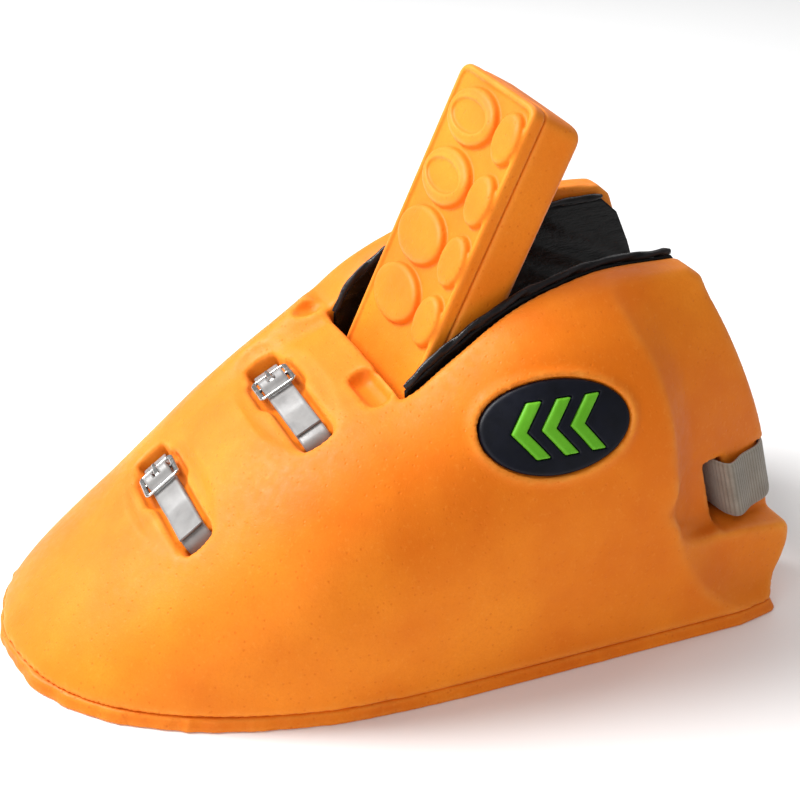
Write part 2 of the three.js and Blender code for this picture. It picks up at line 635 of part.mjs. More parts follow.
function liningPanel(name, side) {
  const { thickness, bottomZ, frontY } = LINING;
  const inner = OPENING_HALF_WIDTH - GAP - thickness;
  const top = liningTop(name);
  const rear = REAR_EDGE[name].filter(([, z]) => z > 90 && z < top[top.length - 1][1] - 2);
  const outline = [[frontY - 12, bottomZ + 40], [frontY - 12, bottomZ], [100, bottomZ],
    [112, bottomZ + 30], [rear[rear.length - 1][0], bottomZ + 30], ...rear.reverse(),
    ...top.reverse(), [frontY, 123]];
  const [x0, x1] = side > 0 ? [inner, inner + thickness] : [-inner - thickness, -inner];
  return sidePrism(outline, x0, x1);
}

function rimBinding(name, side) {
  const { thickness, frontY } = LINING;
  const x = side * (OPENING_HALF_WIDTH - GAP - thickness / 2 - 0.5);
  const lift = BINDING_RADIUS + 1.9;
  const points = [[frontY, 123], ...liningTop(name)].map(([y, z]) => new THREE.Vector3(x, y, z + lift));
  const path = new THREE.CatmullRomCurve3(points);
  const section = new THREE.Shape();
  section.absellipse(0, 0, BINDING_RADIUS, BINDING_RADIUS, 0, 2 * Math.PI);
  const settings = { steps: 24, extrudePath: path, bevelEnabled: false, curveSegments: 5 };
  return new THREE.ExtrudeGeometry(section, settings);
}

for (const [name, side] of [["lateral", 1], ["medial", -1]]) {
  addMesh(`lining_${name}`, liningPanel(name, side), BLACK_LINING());
  addMesh(`rim_binding_${name}`, rimBinding(name, side), BLACK_LINING());
}

addMesh("tongue_face", tongueFace(), ORANGE_FOAM(), tongueFrame());
addMesh("tongue_block", tongueBlock(), ORANGE_FOAM(), tongueFrame());

for (const [name, strap] of Object.entries(STRAPS)) addStrap(name, strap);

addMesh("tongue_hinge_strip", geometryOf(hingeStrip()), BLACK_LINING());

addMesh("heel_strap", heelStrapRibbon(), GREY_WEBBING());
for (const [name, side] of [["lateral", 1], ["medial", -1]]) {
  addMesh(`heel_strap_keeper_${name}`, keeper(side), BLACK_PLASTIC());
}

const { sunk, proud } = CHEVRON;
const chevronFloor = fullWidthForm(-sunk);
const chevronSeat = fullWidthForm(GAP - sunk);
const chevronTop = fullWidthForm(BADGE.proud + proud);
let badge = badgePrism(0).intersect(fullWidthForm(BADGE.proud)).subtract(fullWidthForm(-BADGE.recess));
for (let i = 0; i < CHEVRON.count; i += 1) {
  badge = badge.subtract(chevronPrism(i, GAP).subtract(chevronFloor));
  const piece = chevronPrism(i, 0).intersect(chevronTop).subtract(chevronSeat);
  addMesh(`badge_chevron_${i + 1}`, geometryOf(piece), GREEN());
}
addMesh("badge_plate", geometryOf(badge), NAVY());

export default group;
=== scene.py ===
"""Looks of a moulded-foam field-hockey goalkeeper's kicker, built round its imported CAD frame.

Shapes are worked out in millimetres and turned into metres when a mesh is made. The foam, the tongue,
the badge and the buckles are distance fields: each is a number per grid point, negative inside, which
can be joined and cut with rounded edges, as a mould gives them. The field's zero surface is the mesh.
Straps, webbing, lining and bindings are swept and folded directly.
"""

import math

import bpy
import numpy as np
import openvdb
from mathutils import Matrix, Vector


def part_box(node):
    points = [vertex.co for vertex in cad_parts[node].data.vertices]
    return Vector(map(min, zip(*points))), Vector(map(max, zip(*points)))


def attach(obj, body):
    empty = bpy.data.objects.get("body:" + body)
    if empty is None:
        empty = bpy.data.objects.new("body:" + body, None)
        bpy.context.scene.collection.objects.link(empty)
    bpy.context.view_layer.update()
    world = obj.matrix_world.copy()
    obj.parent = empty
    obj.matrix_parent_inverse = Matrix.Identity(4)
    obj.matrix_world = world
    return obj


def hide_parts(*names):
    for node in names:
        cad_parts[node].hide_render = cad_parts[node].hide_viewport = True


MM = 0.001

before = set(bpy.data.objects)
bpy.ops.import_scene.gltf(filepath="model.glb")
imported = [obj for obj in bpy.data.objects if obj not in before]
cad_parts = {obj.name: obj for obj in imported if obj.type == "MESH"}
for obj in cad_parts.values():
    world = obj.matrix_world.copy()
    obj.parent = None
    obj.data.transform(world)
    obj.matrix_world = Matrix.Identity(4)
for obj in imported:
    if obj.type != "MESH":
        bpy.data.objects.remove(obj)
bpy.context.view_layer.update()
SHELL_LOW, SHELL_HIGH = (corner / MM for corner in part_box("foam_shell"))
BASE_LOW, BASE_HIGH = (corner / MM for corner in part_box("base_layer"))

# ---- Driving dimensions, in millimetres ---------------------------------------------------------
BODY_STEP = 1.75  # grid spacing of the foam body
BAND = 14.0  # distances are exact up to this far from a surface
MARGIN = 6.0  # room round the foam body in its grid
SKIRT_Z = -30.0  # cross-sections run straight down to here, well below the ground

# Foam body
TOE_Y, REAR_Y = SHELL_LOW.y, 230.0
HALF_WIDTH = SHELL_HIGH.x
FLOOR_Z = SHELL_LOW.z
WIDEST_Y = 20.0
PLAN_EXPONENT = 2.5
TOE_SHIFT = {"x": -10.0, "length": 125.0}
SECTION_EXPONENT = {"toe": 1.75, "heel": 3.1, "length": 180.0}
RIDGE = [(-185, 7), (-176, 16), (-160, 30), (-140, 45), (-115, 63), (-90, 81), (-65, 99), (-35, 115),
         (-6, 127), (20, 144), (45, 162), (72, 174), (98, 180), (190, 182)]
MEDIAL_RISE = [(-115, 0), (-70, 5), (-45, 8), (-30, 10), (-18, 13), (-6, 16), (9, 18), (24, 16),
               (40, 11), (70, 4), (190, 2)]
MEDIAL_RISE_FROM_X, MEDIAL_RISE_WIDTH = -38.0, 22.0
RIM = {
    "lateral": [(-30, 145), (-4, 126), (14, 139), (33, 151), (53, 161), (73, 167), (93, 171),
                (131, 171)],
    "medial": [(-30, 150), (-6, 127), (7, 140), (22, 152), (38, 161), (60, 168), (90, 173),
               (129, 174), (146, 172)],
}
REAR_EDGE = {
    "lateral": [(139, 165), (143, 155), (151, 137), (160, 116), (169, 93), (176, 69), (178, 52),
                (180, 34), (176, 20), (163, -1)],
    "medial": [(153, 166), (157, 155), (165, 137), (172, 116), (179, 93), (183, 69), (185, 52),
               (185, 34), (181, 20), (168, -1)],
}
FACET_EDGE = [(78, 200), (82, 178), (89, 165), (93, 154), (98, 142), (102, 129), (105, 111),
              (106, 93), (107, 80), (108, 62), (111, 50), (116, 38), (125, 25), (140, 12), (160, -1)]
FACET_START_Y, FACET_END_Y = 101.0, 175.0
UPPER_FACET = {"step": 7.0, "rear_half_width": 80.0, "softness": 17.0}
LOWER_FACET = {"step": 3.2, "rear_half_width": 98.0, "softness": 22.0}
LEDGE_Z = 49.0
LEDGE_FALL = 0.16  # slope of the ledge behind y = 140
RIM_BAND = 0.5  # full-width band left between the facet and the rim
EDGE = {"rear": 3.6, "inner": 3.6, "trough": 3.5, "slot": 1.6, "bottom": 0.8}

# Foot cavity and ankle opening
CAVITY = {"toe_y": -122.0, "widest_y": -35.0, "half_width": 52.0, "plan": 2.3, "section": 2.8}
CAVITY_ROOF = [(-122, 22), (-112, 40), (-95, 51), (-60, 70), (-30, 88), (-6, 99), (200, 99)]
OPENING_HALF_WIDTH, OPENING_FRONT_Y = 48.0, -5.0

# Straps over the foot
STRAP = {"width": 13.5, "thickness": 1.3, "bottom_z": 9.0}
NEAR_SLOT_X, FAR_SLOT_X = 38.0, -40.0
TROUGH = {"depth": 6.3, "half_width": 9.4, "far_x": -44.0, "near_x": 44.5, "corner": 8.8}
STRAPS = {
    "toe": {"y": -104.0, "slope": math.radians(35.5), "ridge_z": 71.0, "tail_x": 34.0},
    "instep": {"y": -45.0, "slope": math.radians(28.0), "ridge_z": 110.1, "tail_x": 30.0},
}
BUCKLE = {"x": -17.0, "lift": 4.8, "tilt": math.radians(7.0), "length": 22.0, "width": 21.0,
          "thickness": 1.8, "window_length": 8.0, "window_width": 15.2, "centre_bar": 1.6}
PRONG = {"width": 3.0, "thickness": 0.95, "eye_inner": 1.0, "eye_outer": 1.95, "reach": 12.2}

# Heel strap
HEEL = {"width": 31.0, "thickness": 1.9, "lean": 0.28, "z": 65.0, "slot_x": 97.0, "slot_y": 137.5,
        "rear_x": 80.0, "rear_y": 175.0, "back_y": 179.6, "end_x": 47.0}
HEEL_SLOT = {"front": -3.0, "back": 9.5, "side_gap": 1.5}
KEEPER = {"y": 4.0, "length": 18.0, "height": 38.0, "thickness": 3.0}

# Lining
LINING = {"thickness": 3.0, "gap": 0.3, "bottom_z": 58.0, "front_y": -2.5}
LINING_ABOVE_RIM = {
    "lateral": [(-10, -2.5), (160, -2.5)],
    "medial": [(-10, -2.5), (30, -3), (90, -11), (130, -11), (150, -8), (160, -7)],
}
LINING_LIFT = 2.3  # the cloth runs up into its edging
BINDING_RADIUS = 1.9

# Badge
BADGE = {"y": 50.0, "z": 121.0, "length": 67.0, "height": 42.0, "recess": 2.0, "proud": 1.0,
         "tilt": math.radians(20.5), "from_x": 60.0, "depth_x": 37.0}
CHEVRON = {"count": 3, "reach": 9.0, "half_height": 12.5, "width": 6.5, "spacing": 13.0, "sunk": 1.0,
           "proud": 0.7}

# Tongue, in its own frame: X across, Y up along it, Z out of its studded front
TONGUE = {"x": 1.5, "y": 5.4, "z": 123.8, "lean": math.radians(25.0), "length": 139.0, "tuck": 24.0,
          "width": 78.0, "face": 5.5, "thickness": 28.0, "top_slant": 0.05}
STUD_HEIGHT = 4.0
STUD_ROWS = [27.5, 57.3, 87.0, 116.8]
LARGE_STUD = {"x": -9.5, "width": 46.0, "length": 27.0}
SMALL_STUD = {"x": 27.0, "width": 21.5, "length": 24.5}

# Camera and lights: metres, watts, and millimetres for the lens and sensor
CAMERA = {"azimuth": 67.6, "elevation": 27.2, "distance": 0.78, "target": (-0.0263, 0.025, 0.0811),
          "lens": 69.26, "sensor": 36.0}
LIT_POINT = (0, 0, 0.1)
LIGHTS = {
    "key": {"azimuth": -40, "elevation": 45, "distance": 1.5, "size": 0.8, "power": 38},
    "fill": {"azimuth": 40, "elevation": 18, "distance": 1.8, "size": 1.4, "power": 11},
    "back": {"azimuth": 215, "elevation": 45, "distance": 1.8, "size": 1.2, "power": 7},
}
WORLD_STRENGTH = 0.38


# ---- Curves and outlines ------------------------------------------------------------------------
def smooth_through(points, at):
    """Heights of the smooth curve through (place, height) pairs, at each place asked for."""
    places, heights = np.array(points, float).T
    slopes = np.empty_like(places)
    slopes[1:-1] = (heights[2:] - heights[:-2]) / (places[2:] - places[:-2])
    slopes[0] = (heights[1] - heights[0]) / (places[1] - places[0])
    slopes[-1] = (heights[-1] - heights[-2]) / (places[-1] - places[-2])
    at = np.clip(np.asarray(at, float), places[0], places[-1])
    i = np.clip(np.searchsorted(places, at, side="right") - 1, 0, len(places) - 2)
    span = places[i + 1] - places[i]
    t = (at - places[i]) / span
    return (
        (2 * t**3 - 3 * t**2 + 1) * heights[i]
        + (t**3 - 2 * t**2 + t) * span * slopes[i]
        + (3 * t**2 - 2 * t**3) * heights[i + 1]
        + (t**3 - t**2) * span * slopes[i + 1]
    )


def smooth_step(t):
    t = np.clip(t, 0, 1)
    return t * t * (3 - 2 * t)


def curve_through(points, steps):
    """A centripetal Catmull-Rom curve through the points, with that many steps in each span."""
    points = np.array(points, float)
    first = 2 * points[0] - points[1]
    last = 2 * points[-1] - points[-2]
    padded = np.vstack([first, points, last])
    made = []
    for i in range(len(points) - 1):
        p0, p1, p2, p3 = padded[i:i + 4]
        d0, d1, d2 = (max(np.linalg.norm(b - a), 1e-6) ** 0.5 for a, b in ((p0, p1), (p1, p2), (p2, p3)))
        m1 = ((p1 - p0) / d0 - (p2 - p0) / (d0 + d1) + (p2 - p1) / d1) * d1
        m2 = ((p2 - p1) / d1 - (p3 - p1) / (d1 + d2) + (p3 - p2) / d2) * d1
        for t in np.linspace(0, 1, steps, endpoint=False):
            made.append((2 * t**3 - 3 * t**2 + 1) * p1 + (t**3 - 2 * t**2 + t) * m1
                        + (3 * t**2 - 2 * t**3) * p2 + (t**3 - t**2) * m2)
    made.append(points[-1])
    return np.array(made)


def even_steps(line, spacing):
    """The same line, with points about that far apart."""
    lengths = np.linalg.norm(np.diff(line, axis=0), axis=1)
    along = np.concatenate([[0], np.cumsum(lengths)])
    count = max(int(round(along[-1] / spacing)), 2)
    places = np.linspace(0, along[-1], count + 1)
    return np.stack([np.interp(places, along, line[:, k]) for k in range(line.shape[1])], axis=1)


def outline_distance(points, across, up):
    """Distance in the plane from a closed outline, negative inside."""
    shape = np.broadcast(across, up).shape
    inside = np.zeros(shape, bool)
    nearest = np.full(shape, 1e9)
    x0, y0 = points[-1]
    for x1, y1 in points:
        dx, dy = x1 - x0, y1 - y0
        square = dx * dx + dy * dy
        if square > 0:
            t = np.clip(((across - x0) * dx + (up - y0) * dy) / square, 0, 1)
            nearest = np.minimum(nearest, (across - x0 - t * dx) ** 2 + (up - y0 - t * dy) ** 2)
            if dy != 0:
                crossing = x0 + (up - y0) * dx / dy
                inside ^= ((y0 > up) != (y1 > up)) & (across < crossing)
        x0, y0 = x1, y1
    return np.where(inside, -1.0, 1.0) * np.sqrt(nearest)


def flat_curve(points, steps, spacing):
    """An evenly stepped curve through points of a plane, with its third coordinate 0."""
    line = even_steps(curve_through(points, steps), spacing)
    return np.column_stack([line, np.zeros(len(line))])


def directions(line):
    """The unit direction of a line at each of its points."""
    tangent = np.gradient(line, axis=0)
    return tangent / np.linalg.norm(tangent, axis=1)[:, None]


def placed_along(origin, x_axis, y_axis, z_axis):
    """A placement whose own axes point the ways given."""
    return Matrix.Translation(origin) @ Matrix((x_axis, y_axis, z_axis)).transposed().to_4x4()


# ---- Distance fields ----------------------------------------------------------------------------
def joined(a, b, radius=0.0):
    """Both solids as one, with a fillet of about that radius where they meet."""
    if radius == 0:
        return np.minimum(a, b)
    overlap = np.maximum(radius - np.abs(a - b), 0)
    return np.minimum(a, b) - overlap * overlap / (4 * radius)


def common(a, b, radius=0.0):
    """What lies in both solids, with the new edge rounded."""
    return -joined(-a, -b, radius)


def cut(a, tool, radius=0.0):
    """The first solid without the second, with the new edge rounded."""
    return common(a, -tool, radius)


def box_distance(offsets, halves, corner=0.0):
    """Distance from a box with rounded corners. offsets are from its middle, one array per axis."""
    beyond = [np.abs(offset) - half + corner for offset, half in zip(offsets, halves)]
    outside = sum(np.maximum(b, 0) ** 2 for b in beyond) ** 0.5
    inside = beyond[0]
    for b in beyond[1:]:
        inside = np.maximum(inside, b)
    return outside + np.minimum(inside, 0) - corner


def ellipse_distance(x, y, half_x, half_y):
    """Nearly the distance from an ellipse in the plane, exact on its outline."""
    ratio = np.sqrt((x / half_x) ** 2 + (y / half_y) ** 2)
    slope = np.sqrt((x / half_x**2) ** 2 + (y / half_y**2) ** 2)
    return np.where(ratio < 1e-3, -min(half_x, half_y), ratio * (ratio - 1) / np.maximum(slope, 1e-6))


class Grid:
    """An even grid of points over a box, as one array per axis that broadcast together."""

    def __init__(self, low, high, step):
        self.step = step
        self.first = np.floor(np.array(low, float) / step).astype(int)
        last = np.ceil(np.array(high, float) / step).astype(int)
        self.shape = tuple(int(n) for n in last - self.first + 1)
        axes = [(np.arange(n) + f) * step for n, f in zip(self.shape, self.first)]
        self.x = axes[0][:, None, None]
        self.y = axes[1][None, :, None]
        self.z = axes[2][None, None, :]

    def distance_from(self, points, triangles, quads):
        """Distance from a closed mesh, exact within BAND of its surface."""
        level = openvdb.FloatGrid.createLevelSetFromPolygons(
            points.astype(np.float32), triangles=triangles.astype(np.uint32),
            quads=quads.astype(np.uint32), transform=openvdb.createLinearTransform(self.step),
            halfWidth=BAND / self.step)
        values = np.zeros(self.shape, np.float32)
        level.copyToArray(values, ijk=tuple(int(n) for n in self.first))
        return values

    def sample(self, field, x, y, z):
        """The field's value at any points, straight-line between grid points."""
        places = [np.clip(v / self.step - f, 0, n - 1.001)
                  for v, f, n in zip((x, y, z), self.first, self.shape)]
        low = [np.floor(p).astype(int) for p in places]
        part = [p - i for p, i in zip(places, low)]
        value = 0.0
        for corner in np.ndindex(2, 2, 2):
            weight = 1.0
            for c, p in zip(corner, part):
                weight = weight * (p if c else 1 - p)
            value = value + weight * field[tuple(i + c for i, c in zip(low, corner))]
        return value

    def surface(self, field):
        """The zero surface of a field: points in millimetres and four-sided faces, facing out."""
        level = openvdb.FloatGrid(3 * self.step)
        level.copyFromArray(np.ascontiguousarray(field, dtype=np.float32))
        points, _, quads = level.convertToPolygons(isovalue=0.0, adaptivity=0.0)
        points = np.array(points, float)
        quads = np.array(quads, int)
        points = relaxed(points, quads, 3)
        slopes = np.gradient(field, self.step)
        for _ in range(2):
            at = (points + self.first) * self.step
            value = self.sample(field, *at.T)
            slope = np.stack([self.sample(s, *at.T) for s in slopes], axis=1)
            steep = np.maximum((slope**2).sum(1), 0.25)
            move = np.clip(value / steep / self.step, -0.3, 0.3)
            points = points - slope * move[:, None]
        at = (points + self.first) * self.step
        return at, facing_out(at, quads)


def neighbours(quads):
    edges = np.concatenate([quads[:, [0, 1]], quads[:, [1, 2]], quads[:, [2, 3]], quads[:, [3, 0]]])
    return np.concatenate([edges, edges[:, ::-1]])


def neighbour_mean(values, edges):
    counts = np.bincount(edges[:, 0], minlength=len(values))
    sums = [np.bincount(edges[:, 0], values[edges[:, 1], k], len(values)) for k in range(values.shape[1])]
    return np.stack(sums, axis=1) / np.maximum(counts, 1)[:, None]


def relaxed(points, quads, rounds):
    """Evens the points out without shrinking the surface much."""
    edges = neighbours(quads)
    for _ in range(rounds):
        points = points + 0.5 * (neighbour_mean(points, edges) - points)
        points = points - 0.5 * (neighbour_mean(points, edges) - points)
    return points


def facing_out(points, faces):
    a, b, c = points[faces[:, 0]], points[faces[:, 1]], points[faces[:, 2]]
    d = points[faces[:, -1]]
    volume = (a * np.cross(b, c)).sum() + (a * np.cross(c, d)).sum()
    return faces if volume > 0 else faces[:, ::-1]


# ---- Meshes -------------------------------------------------------------------------------------
def add_to_scene(name, data):
    made = bpy.data.objects.new(name, data)
    bpy.context.scene.collection.objects.link(made)
    return made


def new_object(name, points, faces, place=None):
    """A mesh object from points in millimetres. place turns them from their own frame into the row's."""
    points = np.asarray(points, float)
    if place is not None:
        turn = np.array(place.to_3x3())
        points = points @ turn.T + np.array(place.translation)
    mesh = bpy.data.meshes.new(name)
    mesh.from_pydata((points * MM).tolist(), [], [list(map(int, f)) for f in faces])
    mesh.shade_smooth()
    return add_to_scene(name, mesh)


def mark_edges(piece, strength):
    """Stores how sharply each point stands out from its neighbours or sinks below them: lighter edges are
    wear and painted highlight, darker hollows are painted shade and dirt.
    """
    mesh = piece.data
    points = np.array([v.co for v in mesh.vertices], float)
    normals = np.array([v.normal for v in mesh.vertices], float)
    ends = np.array([e.vertices[:] for e in mesh.edges], int)
    edges = np.concatenate([ends, ends[:, ::-1]])
    spacing = np.linalg.norm(points[ends[:, 0]] - points[ends[:, 1]], axis=1).mean()
    bulge = ((points - neighbour_mean(points, edges)) * normals).sum(1, keepdims=True) / spacing
    for _ in range(3):
        bulge = 0.5 * bulge + 0.5 * neighbour_mean(bulge, edges)
    worn_and_highlit = np.clip(bulge[:, 0] * strength, 0, 1)
    hollow = np.clip(-bulge[:, 0] * strength, 0, 1)
    for name, values in (("edge_wear_and_highlight", worn_and_highlit), ("crease_shade_and_dirt", hollow)):
        layer = mesh.attributes.new(name, "FLOAT", "POINT")
        layer.data.foreach_set("value", values.astype(np.float32))


def piece_from_field(name, grid, field, place=None, wear=6.0):
    points, quads = grid.surface(field)
    piece = new_object(name, points, quads, place)
    mark_edges(piece, wear)
    return piece


def swept(rings, closed_ends=True):
    """Points and faces of a tube through rings of points, each ring a closed loop."""
    rings = np.asarray(rings, float)
    count, around = rings.shape[:2]
    start = np.arange(count - 1)[:, None] * around
    k = np.arange(around)[None, :]
    after = (k + 1) % around
    quads = np.stack([start + k, start + after, start + around + after, start + around + k], axis=-1)
    faces = [list(f) for f in quads.reshape(-1, 4)]
    if closed_ends:
        faces.append(list(range(around))[::-1])
        faces.append([(count - 1) * around + i for i in range(around)])
    return rings.reshape(-1, 3), faces


def ribbon(name, line, wide, width, thickness, selvedge=0.0, ribs=None, place=None):
    """A flat band whose middle line is given. wide is the direction of its width. It keeps, for its
    weave, how far each point is across it and along it, in metres. ribs is (pitch, height)."""
    line = np.asarray(line, float)
    wide = np.asarray(wide, float)
    out = np.cross(directions(line), wide)
    out /= np.linalg.norm(out, axis=1)[:, None]
    along = np.concatenate([[0], np.cumsum(np.linalg.norm(np.diff(line, axis=0), axis=1))])
    half, deep = width / 2, thickness / 2
    flat = np.linspace(-1, 1, 15)
    across = np.concatenate([flat * (half - 0.35 * deep), flat[::-1] * (half - 0.35 * deep)])
    edge = np.abs(across) / half
    side = np.concatenate([np.ones(15), -np.ones(15)])
    depth = side * deep * (1 - 0.55 * smooth_step((edge - 0.93) / 0.07))
    depth = depth * (1 - selvedge + selvedge * smooth_step((edge - 0.75) / 0.1))
    nose = [(half, 0.0), (-half, 0.0)]
    across = np.concatenate([across[:15], [nose[0][0]], across[15:], [nose[1][0]]])
    depth = np.concatenate([depth[:15], [0.0], depth[15:], [0.0]])
    rings = []
    for i, point in enumerate(line):
        lift = depth.copy()
        if ribs:
            pitch, height = ribs
            wave = 0.5 + 0.5 * math.cos(2 * math.pi * along[i] / pitch)
            lift = lift * (1 - height / deep * (1 - wave))
        rings.append(point + across[:, None] * wide + lift[:, None] * out[i])
    points, faces = swept(rings)
    piece = new_object(name, points, faces, place)
    weave = np.stack([np.tile(across, len(line)), np.repeat(along, len(across)),
                      np.tile(depth, len(line))], axis=1) * MM
    layer = piece.data.attributes.new("weave", "FLOAT_VECTOR", "POINT")
    layer.data.foreach_set("vector", weave.astype(np.float32).ravel())
    return piece


def carve(piece, low, high, place):
    """Cuts a box out of a mesh for good."""
    corners = [(x, y, z) for x in (low[0], high[0]) for y in (low[1], high[1]) for z in (low[2], high[2])]
    sides = [(0, 1, 3, 2), (4, 6, 7, 5), (0, 4, 5, 1), (2, 3, 7, 6), (0, 2, 6, 4), (1, 5, 7, 3)]
    tool = new_object("tool", corners, sides, place)
    modifier = piece.modifiers.new("slot", "BOOLEAN")
    modifier.operation = "DIFFERENCE"
    modifier.solver = "EXACT"
    modifier.object = tool
    settle(piece)
    bpy.data.objects.remove(tool)


def settle(piece):
    """Applies every modifier of the piece."""
    bpy.context.view_layer.update()
    evaluated = piece.evaluated_get(bpy.context.evaluated_depsgraph_get())
    mesh = bpy.data.meshes.new_from_object(evaluated)
    piece.modifiers.clear()
    piece.data = mesh


def wrinkle(x, y, seed, scale):
    """A repeatable field of soft folds, between about -1 and 1."""
    rng = np.random.default_rng(seed)
    total = 0.0
    for i in range(7):
        angle = rng.uniform(-0.5, 0.5)
        pitch = scale * rng.uniform(0.6, 1.7)
        phase = rng.uniform(0, 2 * math.pi)
        bend = 1.1 * np.sin(x / (scale * rng.uniform(2.0, 4.0)) + phase)
        wave = np.sin(2 * math.pi * (y * math.cos(angle) + x * math.sin(angle)) / pitch + phase + bend)
        total = total + wave * np.abs(wave) ** 0.4
    return total / 4


# ---- Materials ----------------------------------------------------------------------------------
def colour(red, green, blue):
    """A display colour, 0 to 255, as the linear colour that shaders take."""
    parts = [c / 255 for c in (red, green, blue)]
    return tuple(c / 12.92 if c <= 0.04045 else ((c + 0.055) / 1.055) ** 2.4 for c in parts) + (1.0,)


class Finish:
    """One procedural material, with short names for the nodes it is made of."""

    def __init__(self, name, **constants):
        self.material = bpy.data.materials.new(name)
        self.material.use_nodes = True
        self.tree = self.material.node_tree
        self.shader = self.tree.nodes["Principled BSDF"]
        self.bump_normal = None
        for socket, value in constants.items():
            self.shader.inputs[socket.replace("_", " ")].default_value = value
        self.place = self.add("ShaderNodeTexCoord").outputs["Object"]

    def add(self, kind, inputs=(), **settings):
        made = self.tree.nodes.new(kind)
        for key, value in settings.items():
            setattr(made, key, value)
        for key, value in dict(inputs).items():
            if isinstance(value, bpy.types.NodeSocket):
                self.tree.links.new(value, made.inputs[key])
            else:
                made.inputs[key].default_value = value
        return made

    def stored(self, name, kind="Fac"):
        return self.add("ShaderNodeAttribute", attribute_name=name).outputs[kind]

    def noise(self, scale, detail=3.0, roughness=0.55, vector=None):
        inputs = {"Vector": vector or self.place, "Scale": scale, "Detail": detail, "Roughness": roughness}
        return self.add("ShaderNodeTexNoise", inputs).outputs["Fac"]

    def math(self, operation, a, b=0.0, c=0.0):
        inputs = {0: a, 1: b, 2: c}
        return self.add("ShaderNodeMath", inputs, operation=operation).outputs[0]

    def span(self, value, low, high, to_low=0.0, to_high=1.0):
        inputs = {"Value": value, "From Min": low, "From Max": high, "To Min": to_low, "To Max": to_high}
        return self.add("ShaderNodeMapRange", inputs, clamp=True).outputs["Result"]

    def mix(self, share, first, second):
        inputs = {"Factor": share, 6: first, 7: second}
        return self.add("ShaderNodeMix", inputs, data_type="RGBA").outputs[2]

    def stretched(self, scale, vector=None):
        inputs = {"Vector": vector or self.place, "Scale": scale}
        return self.add("ShaderNodeMapping", inputs).outputs["Vector"]

    def bump(self, height, distance, strength=1.0):
        inputs = {"Height": height, "Distance": distance, "Strength": strength}
        if self.bump_normal:
            inputs["Normal"] = self.bump_normal
        self.bump_normal = self.add("ShaderNodeBump", inputs).outputs["Normal"]

    def tinted(self, base, tint, share, strength):
        """The base with that much of a tint wherever the share calls for it."""
        return self.mix(self.math("MULTIPLY", share, strength), base, tint)

    def done(self, base, roughness):
        self.tree.links.new(base, self.shader.inputs["Base Color"])
        self.tree.links.new(roughness, self.shader.inputs["Roughness"])
        if self.bump_normal:
            self.tree.links.new(self.bump_normal, self.shader.inputs["Normal"])
        return self.material


def foam_finish(name, main, light, deep):
    """Moulded closed-cell foam: a satin skin with fine speckled grain and a few open pits."""
    f = Finish(name, Specular_IOR_Level=0.16, Sheen_Weight=0.02, Sheen_Roughness=0.6)
    clouds = f.noise(16, 4)
    base = f.mix(f.span(clouds, 0.35, 0.68), deep, main)
    grain = f.noise(900, 3, 0.7)
    base = f.mix(f.span(grain, 0.45, 0.7, 0, 0.4), base, deep)
    specks = f.noise(520, 2, 0.5)
    base = f.mix(f.span(specks, 0.6, 0.75, 0, 0.14), base, light)
    scuffs = f.noise(70, 6, 0.75)
    # lighter along the convex edges and moulded lips: rubbed wear and painted highlight
    worn_and_highlit = f.math("MULTIPLY", f.stored("edge_wear_and_highlight"), f.span(scuffs, 0.35, 0.65, 0.25, 1.0))
    base = f.tinted(base, light, worn_and_highlit, 0.6)
    # painted shade: creases and hollows darkened towards the deep orange
    base = f.tinted(base, deep, f.stored("crease_shade_and_dirt"), 0.35)
    pits = f.add("ShaderNodeTexVoronoi", {"Vector": f.place, "Scale": 260.0}).outputs["Distance"]
    pit = f.span(pits, 0.06, 0.2, 1.0, 0.0)
    base = f.tinted(base, deep, pit, 0.75)
    f.bump(f.noise(130, 3, 0.5), 0.0006, 0.25)
    f.bump(grain, 0.0003, 0.35)
    f.bump(f.math("MULTIPLY", pit, -1.0), 0.0003, 0.4)
    rough = f.span(f.noise(240, 3), 0.3, 0.7, 0.42, 0.58)
    rough = f.math("SUBTRACT", rough, f.math("MULTIPLY", worn_and_highlit, 0.12))
    return f.done(base, rough)


def lining_finish():
    """Glossy black coated cloth with creases."""
    f = Finish("black_coated_lining", Specular_IOR_Level=0.2, Coat_Weight=0.05, Coat_Roughness=0.12)
    clouds = f.noise(40, 5, 0.6)
    base = f.mix(f.span(clouds, 0.3, 0.7), colour(3, 3, 3), colour(10, 9, 10))
    creases = f.noise(55, 6, 0.7, f.stretched((1.0, 0.45, 1.8)))
    base = f.mix(f.span(creases, 0.58, 0.72, 0, 0.5), base, colour(36, 32, 35))
    f.bump(creases, 0.003, 0.5)
    weave = f.add("ShaderNodeTexVoronoi", {"Vector": f.place, "Scale": 950.0}).outputs["Distance"]
    f.bump(weave, 0.0002, 0.2)
    # lighter grey on the ridges of the folds: rubbed coating and painted highlight
    worn_and_highlit = f.stored("edge_wear_and_highlight")
    base = f.tinted(base, colour(96, 90, 94), worn_and_highlit, 0.35)
    rough = f.span(f.noise(60, 4), 0.3, 0.7, 0.15, 0.32)
    return f.done(base, rough)


